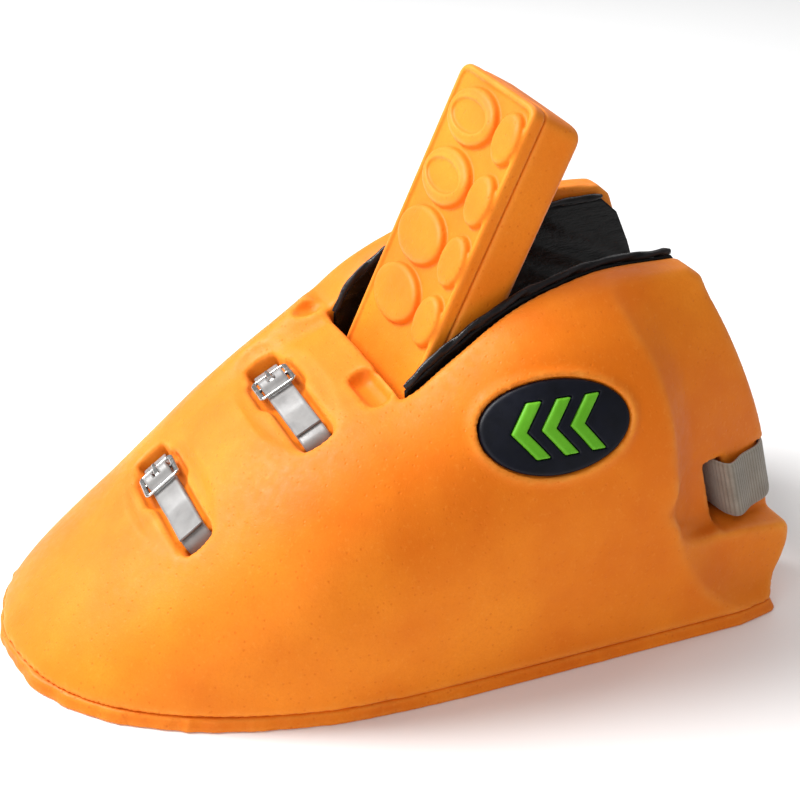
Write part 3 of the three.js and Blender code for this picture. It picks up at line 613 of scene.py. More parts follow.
def strap_finish():
    """Silver-grey coated strap with fine crosswise lines and a pressed edge."""
    f = Finish("silver_strap", Specular_IOR_Level=0.5, Sheen_Weight=0.1, Sheen_Roughness=0.4)
    place = f.stored("weave", "Vector")
    parts = f.add("ShaderNodeSeparateXYZ", {"Vector": place})
    across, along = parts.outputs["X"], parts.outputs["Y"]
    cross = f.math("SINE", f.math("MULTIPLY", along, 2 * math.pi / (0.9 * MM)))
    length = f.math("SINE", f.math("MULTIPLY", across, 2 * math.pi / (1.1 * MM)))
    threads = f.math("MULTIPLY", cross, length)
    clouds = f.noise(120, 4, 0.6)
    base = f.mix(f.span(clouds, 0.3, 0.7), colour(112, 110, 109), colour(138, 136, 134))
    base = f.mix(f.span(threads, -1, 1, 0, 0.18), base, colour(160, 158, 156))
    rubs = f.noise(35, 5, 0.7, f.stretched((1.0, 3.0, 1.0)))
    base = f.mix(f.span(rubs, 0.6, 0.75, 0, 0.4), base, colour(92, 89, 87))
    edge = f.span(f.math("ABSOLUTE", across), 5.9 * MM, 6.6 * MM)
    base = f.tinted(base, colour(164, 160, 158), edge, 0.6)
    f.bump(threads, 0.00018, 0.6)
    f.bump(f.noise(220, 3), 0.0004, 0.3)
    rough = f.span(f.noise(90, 3), 0.3, 0.7, 0.3, 0.5)
    return f.done(base, rough)


def webbing_finish():
    """Grey-beige elastic webbing with ribs across it."""
    f = Finish("grey_webbing", Specular_IOR_Level=0.25, Sheen_Weight=0.35, Sheen_Roughness=0.5)
    place = f.stored("weave", "Vector")
    parts = f.add("ShaderNodeSeparateXYZ", {"Vector": place})
    across, along = parts.outputs["X"], parts.outputs["Y"]
    rib = f.math("SINE", f.math("MULTIPLY", along, 2 * math.pi / (2.0 * MM)))
    thread = f.math("SINE", f.math("MULTIPLY", across, 2 * math.pi / (0.7 * MM)))
    fuzz = f.noise(1400, 3, 0.7)
    clouds = f.noise(60, 4)
    base = f.mix(f.span(clouds, 0.3, 0.7), colour(134, 124, 110), colour(162, 152, 138))
    base = f.mix(f.span(rib, -1, 0.2, 0.5, 0.0), base, colour(96, 88, 76))
    base = f.mix(f.span(thread, 0.2, 1, 0, 0.15), base, colour(188, 180, 168))
    base = f.mix(f.span(fuzz, 0.55, 0.75, 0, 0.35), base, colour(180, 172, 160))
    edge = f.span(f.math("ABSOLUTE", across), 14.2 * MM, 15.3 * MM)
    base = f.tinted(base, colour(176, 168, 156), edge, 0.4)
    f.bump(thread, 0.00015, 0.5)
    f.bump(fuzz, 0.0002, 0.4)
    rough = f.span(fuzz, 0.3, 0.7, 0.7, 0.92)
    return f.done(base, rough)


def steel_finish():
    """Polished nickel-plated steel, scratched and rubbed at its edges."""
    f = Finish("buckle_steel", Metallic=1.0)
    scratches = f.noise(300, 5, 0.75, f.stretched((0.25, 2.2, 1.0)))
    clouds = f.noise(200, 3)
    base = f.mix(f.span(clouds, 0.3, 0.7), colour(158, 156, 154), colour(192, 191, 189))
    base = f.mix(f.span(scratches, 0.6, 0.75, 0, 0.4), base, colour(150, 146, 142))
    base = f.tinted(base, colour(218, 217, 214), f.stored("edge_wear_and_highlight"), 0.5)
    # darker and browner in the hollows
    base = f.tinted(base, colour(92, 84, 76), f.stored("crease_shade_and_dirt"), 0.5)
    f.bump(scratches, 0.0001, 0.3)
    rough = f.span(f.noise(350, 4), 0.3, 0.7, 0.16, 0.34)
    return f.done(base, rough)


def plastic_finish(name, main, light, rough_low=0.28, rough_high=0.42):
    """Moulded plastic with a faint grain, lighter where its edges are rubbed."""
    f = Finish(name, Specular_IOR_Level=0.2)
    clouds = f.noise(90, 4, 0.6)
    base = f.mix(f.span(clouds, 0.3, 0.7, 0, 0.35), main, light)
    scratches = f.noise(260, 6, 0.75, f.stretched((1.0, 0.3, 2.0)))
    base = f.mix(f.span(scratches, 0.62, 0.76, 0, 0.3), base, light)
    base = f.tinted(base, light, f.stored("edge_wear_and_highlight"), 0.7)
    f.bump(f.noise(1500, 2), 0.00012, 0.3)
    f.bump(scratches, 0.0001, 0.2)
    rough = f.span(f.noise(300, 3), 0.3, 0.7, rough_low, rough_high)
    return f.done(base, rough)


FOAM = foam_finish("orange_foam", colour(242, 136, 24), colour(252, 172, 74), colour(226, 112, 8))
BASE_FOAM = foam_finish("orange_foam_base", colour(238, 128, 18), colour(252, 170, 70), colour(218, 102, 6))
LINING_CLOTH = lining_finish()
SILVER = strap_finish()
WEBBING = webbing_finish()
STEEL = steel_finish()
NAVY = plastic_finish("navy_plastic", colour(5, 7, 16), colour(20, 23, 40), 0.36, 0.5)
GREEN = plastic_finish("green_plastic", colour(88, 164, 24), colour(120, 196, 52), 0.36, 0.5)
BLACK_PLASTIC = plastic_finish("black_plastic", colour(22, 22, 24), colour(56, 56, 60), 0.4, 0.55)


def place_piece(piece, body, nodes, material):
    """Gives a piece its finish, hangs it on the body it rides, and hides the CAD nodes it stands for."""
    piece.data.materials.clear()
    piece.data.materials.append(material)
    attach(piece, body)
    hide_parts(*nodes)


# ---- Foam body ----------------------------------------------------------------------------------
def ring_over_skirts(x, z, y):
    """A ring at one place along the foot: an arch, closed by straight skirts down past the ground."""
    x = np.concatenate([x, [x[-1], x[0]]])
    z = np.concatenate([z, [SKIRT_Z, SKIRT_Z]])
    return np.stack([x, np.full_like(x, y), z], axis=1)


def body_ring(y, half_width, offset=0.0, around=84):
    """The body's cross-section at one place: a superellipse over straight skirts that run into the
    ground."""
    back = min((y - TOE_Y) / SECTION_EXPONENT["length"], 1)
    toe, heel = SECTION_EXPONENT["toe"], SECTION_EXPONENT["heel"]
    power = 2 / (toe + (heel - toe) * back)
    centre = TOE_SHIFT["x"] * max(1 - (y - TOE_Y) / TOE_SHIFT["length"], 0)
    angle = np.linspace(0, math.pi, around)
    cos, sin = np.cos(angle), np.maximum(np.sin(angle), 0)
    x = centre + (half_width + offset) * np.sign(cos) * np.abs(cos) ** power
    rise = smooth_through(MEDIAL_RISE, y) * smooth_step((MEDIAL_RISE_FROM_X - x) / MEDIAL_RISE_WIDTH)
    z = (smooth_through(RIDGE, y) + offset + rise) * sin**power
    return ring_over_skirts(x, z, y)


def plan_half_width(y, toe_y, widest_y, half_width, exponent):
    t = min(max((widest_y - y) / (widest_y - toe_y), 0), 1)
    return half_width * (1 - t**exponent) ** (1 / exponent)


def rounded_stations(toe_y, widest_y, rear_y, steps):
    """Places along the foot, close together where the toe rounds off."""
    angles = (np.arange(steps + 1) + 0.05) / (steps + 0.05) * math.pi / 2
    toe = toe_y + (widest_y - toe_y) * (1 - np.cos(angles))
    return list(toe) + list(np.linspace(widest_y, rear_y, 30)[1:])


def ring_distance(grid, rings):
    """Distance from the solid through rings of points, closed by a point in each end."""
    rings = np.array(rings)
    count, around = rings.shape[:2]
    points, faces = swept(rings, closed_ends=False)
    points = np.vstack([points, rings[0].mean(0), rings[-1].mean(0)])
    k = np.arange(around)
    after = (k + 1) % around
    first = np.stack([after, k, np.full(around, len(points) - 2)], axis=1)
    base = (count - 1) * around
    last = np.stack([base + k, base + after, np.full(around, len(points) - 1)], axis=1)
    return grid.distance_from(points, np.vstack([first, last]), np.array(faces))


def full_width_distance(grid):
    rings = []
    for y in rounded_stations(TOE_Y, WIDEST_Y, REAR_Y, 60):
        rings.append(body_ring(y, plan_half_width(y, TOE_Y, WIDEST_Y, HALF_WIDTH, PLAN_EXPONENT)))
    return ring_distance(grid, rings)


def facet_distance(grid, facet):
    start = HALF_WIDTH - facet["step"]
    narrowing = (start - facet["rear_half_width"]) / (FACET_END_Y - FACET_START_Y)
    rings = []
    for y in np.linspace(60, REAR_Y, 40):
        rings.append(body_ring(y, start - narrowing * max(y - FACET_START_Y, 0)))
    return ring_distance(grid, rings)


def cavity_distance(grid):
    """The space for the shoe: a lofted pocket with no floor."""
    angle = np.linspace(0, math.pi, 48)
    cos, sin = np.cos(angle), np.maximum(np.sin(angle), 0)
    power = 2 / CAVITY["section"]
    rings = []
    for y in rounded_stations(CAVITY["toe_y"], CAVITY["widest_y"], 240, 30):
        half = plan_half_width(y, CAVITY["toe_y"], CAVITY["widest_y"], CAVITY["half_width"], CAVITY["plan"])
        x = half * np.sign(cos) * np.abs(cos) ** power
        z = -5 + (smooth_through(CAVITY_ROOF, y) + 5) * sin**power
        rings.append(ring_over_skirts(x, z, y))
    return ring_distance(grid, rings)


def opening_distance(grid):
    """The space between the walls; its front slopes forward under the instep edge."""
    front = OPENING_FRONT_Y
    outline = [(front, 260), (front, 121), (front - 19, 84), (front - 19, 30), (front, -30), (280, -30),
               (280, 260)]
    side = outline_distance(outline, grid.y, grid.z)
    return common(side, np.abs(grid.x) - OPENING_HALF_WIDTH, 2.0)


def side_outline(name):
    """Side view of one wall: its rim, and its rear edge down to the ground."""
    rear = curve_through(REAR_EDGE[name], 5).tolist()
    rim = curve_through(RIM[name], 5).tolist()
    return [(-230, -40), (rear[-1][0], -40)] + rear[::-1] + rim[::-1] + [(-60, 260), (-230, 260)]


def pick_side(grid, lateral, medial):
    return np.where(grid.x > 0, lateral, medial)


def strap_frame(strap):
    """X across the foot, Y out of the foam, Z down the slope towards the toe."""
    slope = strap["slope"]
    across = Vector((1, 0, 0))
    out = Vector((0, -math.sin(slope), math.cos(slope)))
    down = across.cross(out)
    origin = Vector((0, strap["y"], strap["ridge_z"])) - out * TROUGH["depth"]
    return placed_along(origin, across, out, down)


def strap_depth(strap):
    """How far below the trough's floor the strap runs under the foot."""
    return (strap["ridge_z"] - STRAP["bottom_z"]) / math.cos(strap["slope"]) - TROUGH["depth"]


def local_axes(grid, place):
    """The grid's points in a frame of their own."""
    inverse = place.inverted()
    return [inverse[r][0] * grid.x + inverse[r][1] * grid.y + inverse[r][2] * grid.z + inverse[r][3]
            for r in range(3)]


def trough_distance(grid, strap):
    """A channel as wide as the strap needs, with a wider pocket round the buckle and a soft dent beyond."""
    across, out, down = local_axes(grid, strap_frame(strap))
    middle = (TROUGH["far_x"] + TROUGH["near_x"]) / 2
    half = (TROUGH["near_x"] - TROUGH["far_x"]) / 2
    channel = box_distance([across - middle, down], [half, TROUGH["half_width"]], TROUGH["corner"])
    pocket = box_distance([across - BUCKLE["x"] - 0.5, down], [13.5, BUCKLE["width"] / 2 + 1.8], 4.5)
    plan = joined(channel, pocket, 6.0)
    soft = ellipse_distance(across + 2, down, 50.0, 19.0)
    shallow = common(soft, TROUGH["depth"] - 0.6 - 0.05 * (soft + 19) - out, 3.0)
    return joined(common(plan, -(out + 0.5), 2.0), shallow, 4.0)


def slot_distance(grid, strap):
    """The slot at each end of a trough, with a mouth that opens inward for the strap's bend."""
    across, out, down = local_axes(grid, strap_frame(strap))
    depth = strap_depth(strap) + 3
    half = STRAP["width"] / 2 + 1.2
    found = None
    for x, inward, beyond in ((NEAR_SLOT_X, -1, 3.4), (FAR_SLOT_X, 1, 0.0)):
        middle, reach = across - x + inward * beyond / 2, 2.8 + beyond / 2
        slot = box_distance([middle, down, out - (6 - depth) / 2], [reach, half, (6 + depth) / 2], 2.6)
        mouth = box_distance([across - x - inward * 2.7, down, out - 2], [5.6, half, 4.4], 1.2)
        both = joined(slot, mouth, 1.0)
        found = both if found is None else joined(found, both)
    return found


def heel_frame():
    """Plan of the heel strap, sheared so that its upper edge leans forward with the rear edge."""
    shear = Matrix.Identity(4)
    shear[1][2] = -HEEL["lean"]
    return Matrix.Translation((0, HEEL["slot_y"], HEEL["z"])) @ shear


def heel_line():
    slot_y = HEEL["slot_y"]
    side = [(HEEL["end_x"], KEEPER["y"]), (HEEL["slot_x"] - 24, KEEPER["y"] + 0.8), (HEEL["slot_x"] - 9, 7),
            (HEEL["slot_x"] - 5.2, 10.8), (HEEL["rear_x"] + 6, HEEL["rear_y"] - slot_y - 16),
            (HEEL["rear_x"], HEEL["rear_y"] - slot_y - 3), (HEEL["rear_x"] - 9, HEEL["rear_y"] - slot_y + 3),
            (HEEL["rear_x"] * 0.45, HEEL["back_y"] - slot_y - 1)]
    mirrored = [(-x, y) for x, y in side][::-1]
    return side + [(0, HEEL["back_y"] - slot_y)] + mirrored


def heel_cuts(grid):
    """Slots for the heel strap through both walls, and the shallow groove it lies in."""
    across, along, up = local_axes(grid, heel_frame())
    middle = (HEEL_SLOT["front"] + HEEL_SLOT["back"]) / 2
    reach = (HEEL_SLOT["back"] - HEEL_SLOT["front"]) / 2
    half = HEEL["width"] / 2 + HEEL_SLOT["side_gap"]
    slot = box_distance([np.abs(across) - 81, along - middle, up], [41, reach, half], 1.0)
    line = even_steps(curve_through(heel_line(), 6), 6.0)
    line = line[np.abs(line[:, 0]) < HEEL["slot_x"] + 1]
    line = line[line[:, 1] > HEEL_SLOT["back"] - 1]
    near = np.full(np.broadcast(across, along).shape, 1e9)
    for (x0, y0), (x1, y1) in zip(line[:-1], line[1:]):
        dx, dy = x1 - x0, y1 - y0
        t = np.clip(((across - x0) * dx + (along - y0) * dy) / (dx * dx + dy * dy), 0, 1)
        near = np.minimum(near, (across - x0 - t * dx) ** 2 + (along - y0 - t * dy) ** 2)
    beside = np.abs(up) - HEEL["width"] / 2 - 1.2
    groove = common(np.sqrt(near) - 1.7, beside, 1.0)
    path = line[(line[:, 0] > HEEL["rear_x"] * 0.4) & (line[:, 1] > 20)]
    path = path[np.argsort(path[:, 0])]
    behind = np.interp(np.abs(across), path[:, 0], path[:, 1] - 1.7, right=200) - along
    notch = common(common(behind, HEEL["rear_x"] * 0.45 - np.abs(across), 0.5), beside, 1.0)
    return joined(joined(slot, groove), notch)


def pocket_distance(grid):
    """The pocket in front of the heel strap's slot, which widens and deepens towards it."""
    outline = [(104, 70.5), (112, 83), (124, 86.5), (141, 85), (146, 52), (130, 54.5), (113, 59.5)]
    side = outline_distance(outline, grid.y, grid.z)
    floor = smooth_through([(100, 109), (105, 106.5), (113, 100), (125, 94), (140, 89.5)], grid.y)
    return common(side, floor - np.abs(grid.x), 3.0)


def scoop_distance(grid):
    """Finger recesses at both ends of the instep edge."""
    near = box_distance([grid.x - 30, grid.y + 13.6, grid.z - 127.5], [15.5, 6.8, 11.0], 6.5)
    far = box_distance([grid.x + 55, grid.y + 14.5, grid.z - 132], [6.5, 8.5, 9.0], 6.4)
    return joined(near, far)


def badge_frame():
    """X along the foot, Y up the flank, Z out of it."""
    tilt = BADGE["tilt"]
    out = Vector((math.cos(tilt), 0, math.sin(tilt)))
    along = Vector((0, 1, 0))
    up = out.cross(along)
    middle = Vector((BADGE["from_x"], BADGE["y"], BADGE["z"] - BADGE["depth_x"] * math.tan(tilt)))
    return placed_along(middle, along, up, out)


def badge_plan(along, up, grow=0.0):
    return ellipse_distance(along, up, BADGE["length"] / 2 + grow, BADGE["height"] / 2 + grow)


def build_foam_shell(grid):
    full = full_width_distance(grid)
    side = {name: outline_distance(side_outline(name), grid.y, grid.z) for name in RIM}
    limit = pick_side(grid, side["lateral"], side["medial"])
    flank = outline_distance(
        [(-230, -40), (160, -40)] + curve_through(FACET_EDGE, 5).tolist()[::-1] + [(-230, 260)],
        grid.y, grid.z)
    rim_band = outline_distance(
        [(-230, -40), (300, -40), (300, 172)] + [(y, z) for y, z in RIM["lateral"]][::-1], grid.y, grid.z)
    into_zone = -common(-flank, rim_band + RIM_BAND, 9.0)
    ledge = LEDGE_Z - LEDGE_FALL * np.maximum(grid.y - 140, 0)
    upper = common(facet_distance(grid, UPPER_FACET), ledge - 3 - grid.z, 4.0)
    lower = common(facet_distance(grid, LOWER_FACET), grid.z - ledge, 3.5)
    inset = joined(upper, lower, 2.5)
    low_share = smooth_step((LEDGE_Z + 12 - grid.z) / 16)
    softness = UPPER_FACET["softness"] + (LOWER_FACET["softness"] - UPPER_FACET["softness"]) * low_share
    share = (1 - np.clip(1 - into_zone / softness, 0, 1) ** 2) * smooth_step((grid.z + 4) / 22)
    body = full + (inset - full) * share
    body = common(body, limit, EDGE["rear"])
    outside = body

    along, up, out = local_axes(grid, badge_frame())
    plan = badge_plan(along, up)
    lip = common(np.abs(plan - 2.0) - 1.7, full - 1.3, 2.2)
    lip = common(lip, -out, 0.0)
    body = joined(body, lip, 2.5)
    recess = common(common(plan - 0.5, -(full + BADGE["recess"] + 0.3), 0.5), -out, 0.0)
    body = cut(body, recess, 0.8)

    void = joined(cavity_distance(grid), opening_distance(grid), 3.0)
    body = cut(body, void, EDGE["inner"])
    for strap in STRAPS.values():
        body = cut(body, trough_distance(grid, strap), EDGE["trough"])
        body = cut(body, slot_distance(grid, strap), EDGE["slot"])
    body = cut(body, pocket_distance(grid), 4.0)
    body = cut(body, heel_cuts(grid), 1.2)
    body = cut(body, scoop_distance(grid), 2.0)
    body = common(body, FLOOR_Z - grid.z, EDGE["bottom"])
    return body, full, void, outside


body_grid = Grid((-HALF_WIDTH - MARGIN, TOE_Y - MARGIN, -MARGIN),
                 (HALF_WIDTH + MARGIN, 190 + MARGIN, SHELL_HIGH.z + MARGIN + 4), BODY_STEP)
shell_field, full_field, void_field, outside_field = build_foam_shell(body_grid)
shell = piece_from_field("foam_shell_moulded", body_grid, shell_field, wear=7.0)
place_piece(shell, "kicker", ["foam_shell"], FOAM)


def build_base_layer():
    """The flat layer under the body, trimmed by hand: it stands out a little round the toe."""
    grid = Grid((BASE_LOW.x - 3, BASE_LOW.y - 5, -2), (BASE_HIGH.x + 3, BASE_HIGH.y + 15, 8.5),
                1.2)
    places = np.broadcast_arrays(grid.x, grid.y, grid.z)
    outline = body_grid.sample(outside_field, places[0], places[1], np.full_like(places[2], FLOOR_Z + 1.0))
    angle = np.arctan2(grid.x, grid.y)
    ragged = 0.3 * np.sin(37 * angle + 2 * np.sin(11 * angle)) + 0.2 * np.sin(91 * angle + 1.7)
    burrs = 0.8 * np.maximum(np.sin(23 * angle + 3 * np.sin(5 * angle)), 0) ** 12
    toe = smooth_step((-60 - grid.y) / 60)
    flare = smooth_step((BASE_HIGH.z - grid.z) / BASE_HIGH.z)
    outer_side = smooth_step((grid.x + 20) / 60)
    lip = 0.2 + 0.9 * toe + (0.3 + 1.5 * outer_side) * flare
    outline = outline - lip + (ragged - burrs) * (0.25 + 0.5 * toe)
    top = BASE_HIGH.z
    layer = common(common(outline, grid.z - top, 0.3), -grid.z, 0.8)
    layer = cut(layer, body_grid.sample(void_field, *places), 2.0)
    return piece_from_field("base_layer_trimmed", grid, layer, wear=4.0)


base_layer = build_base_layer()
place_piece(base_layer, "kicker", ["base_layer"], BASE_FOAM)


# ---- Tongue -------------------------------------------------------------------------------------
def tongue_frame():
    lean = TONGUE["lean"]
    across = Vector((1, 0, 0))
    up = Vector((0, math.sin(lean), math.cos(lean)))
    out = across.cross(up)
    return placed_along((TONGUE["x"], TONGUE["y"], TONGUE["z"]), across, up, out)


def stud_distance(grid, stud, row, ringed):
    """A raised pad with a soft shoulder. A ringed one has a second, smaller oval standing on it."""
    x, y = grid.x - stud["x"], grid.y - row
    plan = ellipse_distance(x, y, stud["width"] / 2, stud["length"] / 2)
    shoulder = np.clip((plan + 5.5) / 5.5, 0, 1)
    pad = common(plan, grid.z - STUD_HEIGHT + 0.9 * shoulder**2, 2.2)
    if ringed:
        ring = ellipse_distance(x, y, stud["width"] / 2 - 5.2, stud["length"] / 2 - 5.2)
        dish = common(ring + 0.4, STUD_HEIGHT - 1.0 - grid.z, 0.4)
        raised = common(np.abs(ring) - 0.8, grid.z - STUD_HEIGHT - 0.35, 0.8)
        pad = joined(cut(pad, dish, 0.5), common(raised, 1.0 - grid.z), 0.6)
    return pad


def tongue_plan(grid, corner):
    middle = (TONGUE["length"] - TONGUE["tuck"]) / 2
    reach = (TONGUE["length"] + TONGUE["tuck"]) / 2
    return box_distance([grid.x, grid.y - middle], [TONGUE["width"] / 2, reach], corner)


def slanted_top(grid):
    """The tongue's upper end falls slightly towards the outer side."""
    return grid.y + TONGUE["top_slant"] * (grid.x + TONGUE["width"] / 2) - TONGUE["length"]


def build_tongue_face():
    step = 0.95
    half = TONGUE["width"] / 2
    low = (-half - 2, -TONGUE["tuck"] - 2, -TONGUE["face"] - 2)
    grid = Grid(low, (half + 2, TONGUE["length"] + 2, STUD_HEIGHT + 2.5), step)
    plan = common(tongue_plan(grid, 8.5), slanted_top(grid), 6.0)
    pad = common(common(plan, grid.z, 1.2), -TONGUE["face"] - grid.z, 1.8)
    bead = np.sqrt((plan + 1.7) ** 2 + (grid.z + 0.3) ** 2) - 1.8
    pad = joined(pad, bead, 0.7)
    for index, row in enumerate(STUD_ROWS):
        for stud in (LARGE_STUD, SMALL_STUD):
            ringed = stud is LARGE_STUD and index > 1
            pad = joined(pad, common(stud_distance(grid, stud, row, ringed), -3 - grid.z), 0.8)
    return piece_from_field("tongue_face_moulded", grid, pad, tongue_frame(), wear=5.0)


def build_tongue_block():
    step = 1.15
    half = TONGUE["width"] / 2
    back, front = -TONGUE["thickness"], -TONGUE["face"] - 0.3
    grid = Grid((-half - 2, -TONGUE["tuck"] - 2, back - 2), (half + 2, TONGUE["length"] + 2, front + 2), step)
    plan = tongue_plan(grid, 11.0)
    top = slanted_top(grid) - 0.14 * (grid.z - front)
    block = common(common(common(plan + 0.2, top, 6.0), grid.z - front, 1.8), back - grid.z, 6.0)
    return piece_from_field("tongue_block_moulded", grid, block, tongue_frame(), wear=5.0)


for piece, node in ((build_tongue_face(), "tongue_face"), (build_tongue_block(), "tongue_block")):
    place_piece(piece, "tongue", [node], FOAM)


# ---- Straps and buckles -------------------------------------------------------------------------
def strap_line(strap):
    """The strap's middle line, across the foot and out of the foam. It is folded round the buckle's
    centre bar, goes down the near slot, under the foot and up the far slot, then through the buckle
    and back over itself to its free tail."""
    depth, bar, lift = strap_depth(strap), BUCKLE["x"], BUCKLE["lift"]
    near, far = NEAR_SLOT_X, FAR_SLOT_X
    fold = [(bar + 21, 2.3), (bar + 9.5, 2.3), (bar + 6, 2.6), (bar + 3.2, 4.7), (bar + 1.3, lift + 1.45),
            (bar - 0.6, lift + 1.7), (bar - 1.8, lift + 0.4), (bar - 1.4, lift - 1.3),
            (bar + 0.6, lift - 2.2), (bar + 5, 1.1), (bar + 11, 0.8), (bar + 25, 0.8), (bar + 40, 0.8),
            (near - 8, 0.8)]
    down = [(near - 2.5, -0.8), (near, -6), (near, -depth / 2), (near, -depth + 8),
            (near - 2.3, -depth + 2.3), (near - 8, -depth), (0, -depth)]
    up = [(far + 8, -depth), (far + 2.3, -depth + 2.3), (far, -depth + 8), (far, -depth / 2), (far, -6),
          (far + 2, -1), (far + 6.5, 0.8), (bar - 11, 0.7), (bar - 9, 0.8)]
    over = [(bar - 7.4, 1.6), (bar - 5.8, 3.8), (bar - 3.5, 6.5), (bar - 0.6, 7.85), (bar + 2.6, 7.15),
            (bar + 5.6, 5.3), (bar + 8.3, 4.1), (bar + 12, 3.9), (bar + 19, 3.8), (bar + 24, 3.2),
            (bar + 28, 2.4), (bar + 38, 2.3), (strap["tail_x"], 2.3)]
    return fold + down + up + over


def build_strap(name, strap):
    line = flat_curve(strap_line(strap), 8, 0.7)
    place = strap_frame(strap)
    piece = ribbon(f"{name}_strap_woven", line, (0, 0, 1), STRAP["width"], STRAP["thickness"],
                   selvedge=0.12, place=place)
    bar = BUCKLE["x"]
    carve(piece, (bar - 7.2, 1.5, -2.0), (bar + 2.6, 14, 2.0), place)
    return piece


def buckle_place(strap):
    lift = Matrix.Translation((BUCKLE["x"], BUCKLE["lift"], 0)) @ Matrix.Rotation(BUCKLE["tilt"], 4, "Z")
    return strap_frame(strap) @ lift


def build_buckle_frame(name, place):
    """A cast frame with a window each side of its centre bar, and rounded edges."""
    length, width, thick = BUCKLE["length"], BUCKLE["width"], BUCKLE["thickness"]
    grid = Grid((-length / 2 - 1, -2.2, -width / 2 - 1), (length / 2 + 1, 2.2, width / 2 + 1),
                0.28)
    plan = box_distance([grid.x, grid.z], [length / 2, width / 2], 3.2)
    reach = BUCKLE["window_length"] / 2
    window_x = np.abs(grid.x) - BUCKLE["centre_bar"] / 2 - reach
    window = box_distance([window_x, grid.z], [reach, BUCKLE["window_width"] / 2], 0.9)
    rim = cut(plan, window, 0.0)
    solid = common(rim, np.abs(grid.y) - thick / 2, 1.3)
    return piece_from_field(f"{name}_buckle_cast", grid, solid, place, wear=3.0)


def build_prong(name, place):
    """A flat tongue with an eye round the centre bar, narrowing to a rounded tip."""
    reach, inner = PRONG["reach"], PRONG["eye_inner"]
    grid = Grid((-reach - 1, -4, -3), (4.5, 4.5, 3), 0.22)
    radius = np.sqrt(grid.x**2 + grid.y**2)
    wall = (PRONG["eye_outer"] - inner) / 2
    eye = np.abs(radius - inner - wall) - wall
    middle = inner + PRONG["thickness"] / 2 + 0.02
    blade = box_distance([grid.x + reach / 2, grid.y - middle], [reach / 2, PRONG["thickness"] / 2], 0.4)
    taper = PRONG["width"] / 2 - 0.5 * smooth_step(-(grid.x + 2) / reach)
    solid = common(joined(eye, blade, 0.5), np.abs(grid.z) - taper, 0.9)
    return piece_from_field(f"{name}_buckle_prong_forged", grid, solid, place, wear=3.0)


for strap_name, strap in STRAPS.items():
    woven = build_strap(strap_name, strap)
    place_piece(woven, "kicker", [f"{strap_name}_strap"], SILVER)
    cast = build_buckle_frame(strap_name, buckle_place(strap))
    place_piece(cast, "kicker", [f"{strap_name}_buckle_frame"], STEEL)
    prong = build_prong(strap_name, buckle_place(strap))
    place_piece(prong, f"{strap_name}_prong", [f"{strap_name}_buckle_prong"], STEEL)


# ---- Heel strap ---------------------------------------------------------------------------------
def build_heel_strap():
    line = flat_curve(heel_line(), 12, 0.33)
    return ribbon("heel_strap_webbing", line, (0, 0, 1), HEEL["width"], HEEL["thickness"],
                  selvedge=0.1, ribs=(2.0, 0.22), place=heel_frame())


def build_keeper(name, side):
    """A moulded bar that stops one end of the heel strap from pulling out."""
    half = [KEEPER["thickness"] / 2, KEEPER["length"] / 2, KEEPER["height"] / 2]
    grid = Grid([-h - 1 for h in half], [h + 1 for h in half], 0.5)
    plan = box_distance([grid.y, grid.z], half[1:], 4.0)
    bar = common(plan, np.abs(grid.x) - half[0], 1.6)
    x = side * (HEEL["end_x"] - 0.3 - half[0])
    return piece_from_field(f"heel_strap_keeper_{name}_moulded", grid, bar,
                            heel_frame() @ Matrix.Translation((x, KEEPER["y"], 0)), wear=4.0)


heel_strap = build_heel_strap()
place_piece(heel_strap, "kicker", ["heel_strap"], WEBBING)
for name, side in (("lateral", 1), ("medial", -1)):
    keeper = build_keeper(name, side)
    place_piece(keeper, "kicker", [f"heel_strap_keeper_{name}"], BLACK_PLASTIC)


# ---- Lining -------------------------------------------------------------------------------------
def lining_top(name):
    return [(y, z + float(smooth_through(LINING_ABOVE_RIM[name], y))) for y, z in RIM[name] if y > 0]


def build_lining(name, side):
    """Coated cloth against the inside of a wall, lying in soft folds."""
    front, bottom = LINING["front_y"], LINING["bottom_z"]
    top = lining_top(name)
    rear = [top[-1]] + [(y - 1.5, z) for y, z in REAR_EDGE[name] if 90 < z < top[-1][1] - 4]
    columns = even_steps(np.array([(front, 0.0), (rear[-1][0], 0.0)]), 1.3)[:, 0]
    edge_y, edge_z = np.array([(front, 123.0)] + top).T
    levels = np.linspace(0, 1, 48)
    top_line = np.interp(columns, edge_y, edge_z)
    rear_y, rear_z = np.array(rear).T
    behind = columns > top[-1][0]
    top_line[behind] = np.interp(columns[behind], rear_y, rear_z)
    top_line += LINING_LIFT
    bottom_line = bottom + 30 * smooth_step((columns - 98) / 16)
    middle = OPENING_HALF_WIDTH - LINING["gap"] - LINING["thickness"] / 2
    rings = []
    for i, y in enumerate(columns):
        z = bottom_line[i] + (top_line[i] - bottom_line[i]) * levels
        fold = 0.95 * wrinkle(y * 0.5, z + 0.55 * y, 3 + side, 15.0)
        fold = fold * smooth_step((top_line[i] - z) / 10 + 0.2)
        x = side * (middle - 0.1) + np.clip(fold, -0.9, 0.9)
        outer = np.stack([x + 0.55, np.full_like(z, y), z], axis=1)
        inner = np.stack([x - 0.55, np.full_like(z, y), z], axis=1)[::-1]
        rings.append(np.vstack([outer, inner]))
    points, faces = swept(rings)
    piece = new_object(f"lining_{name}_cloth", points, faces)
    mark_edges(piece, 3.0)
    area = float(np.trapz(top_line - bottom_line, columns))
    flat = (float(columns[-1] - columns[0]), float((top_line - bottom_line).max()))
    return piece, flat, area


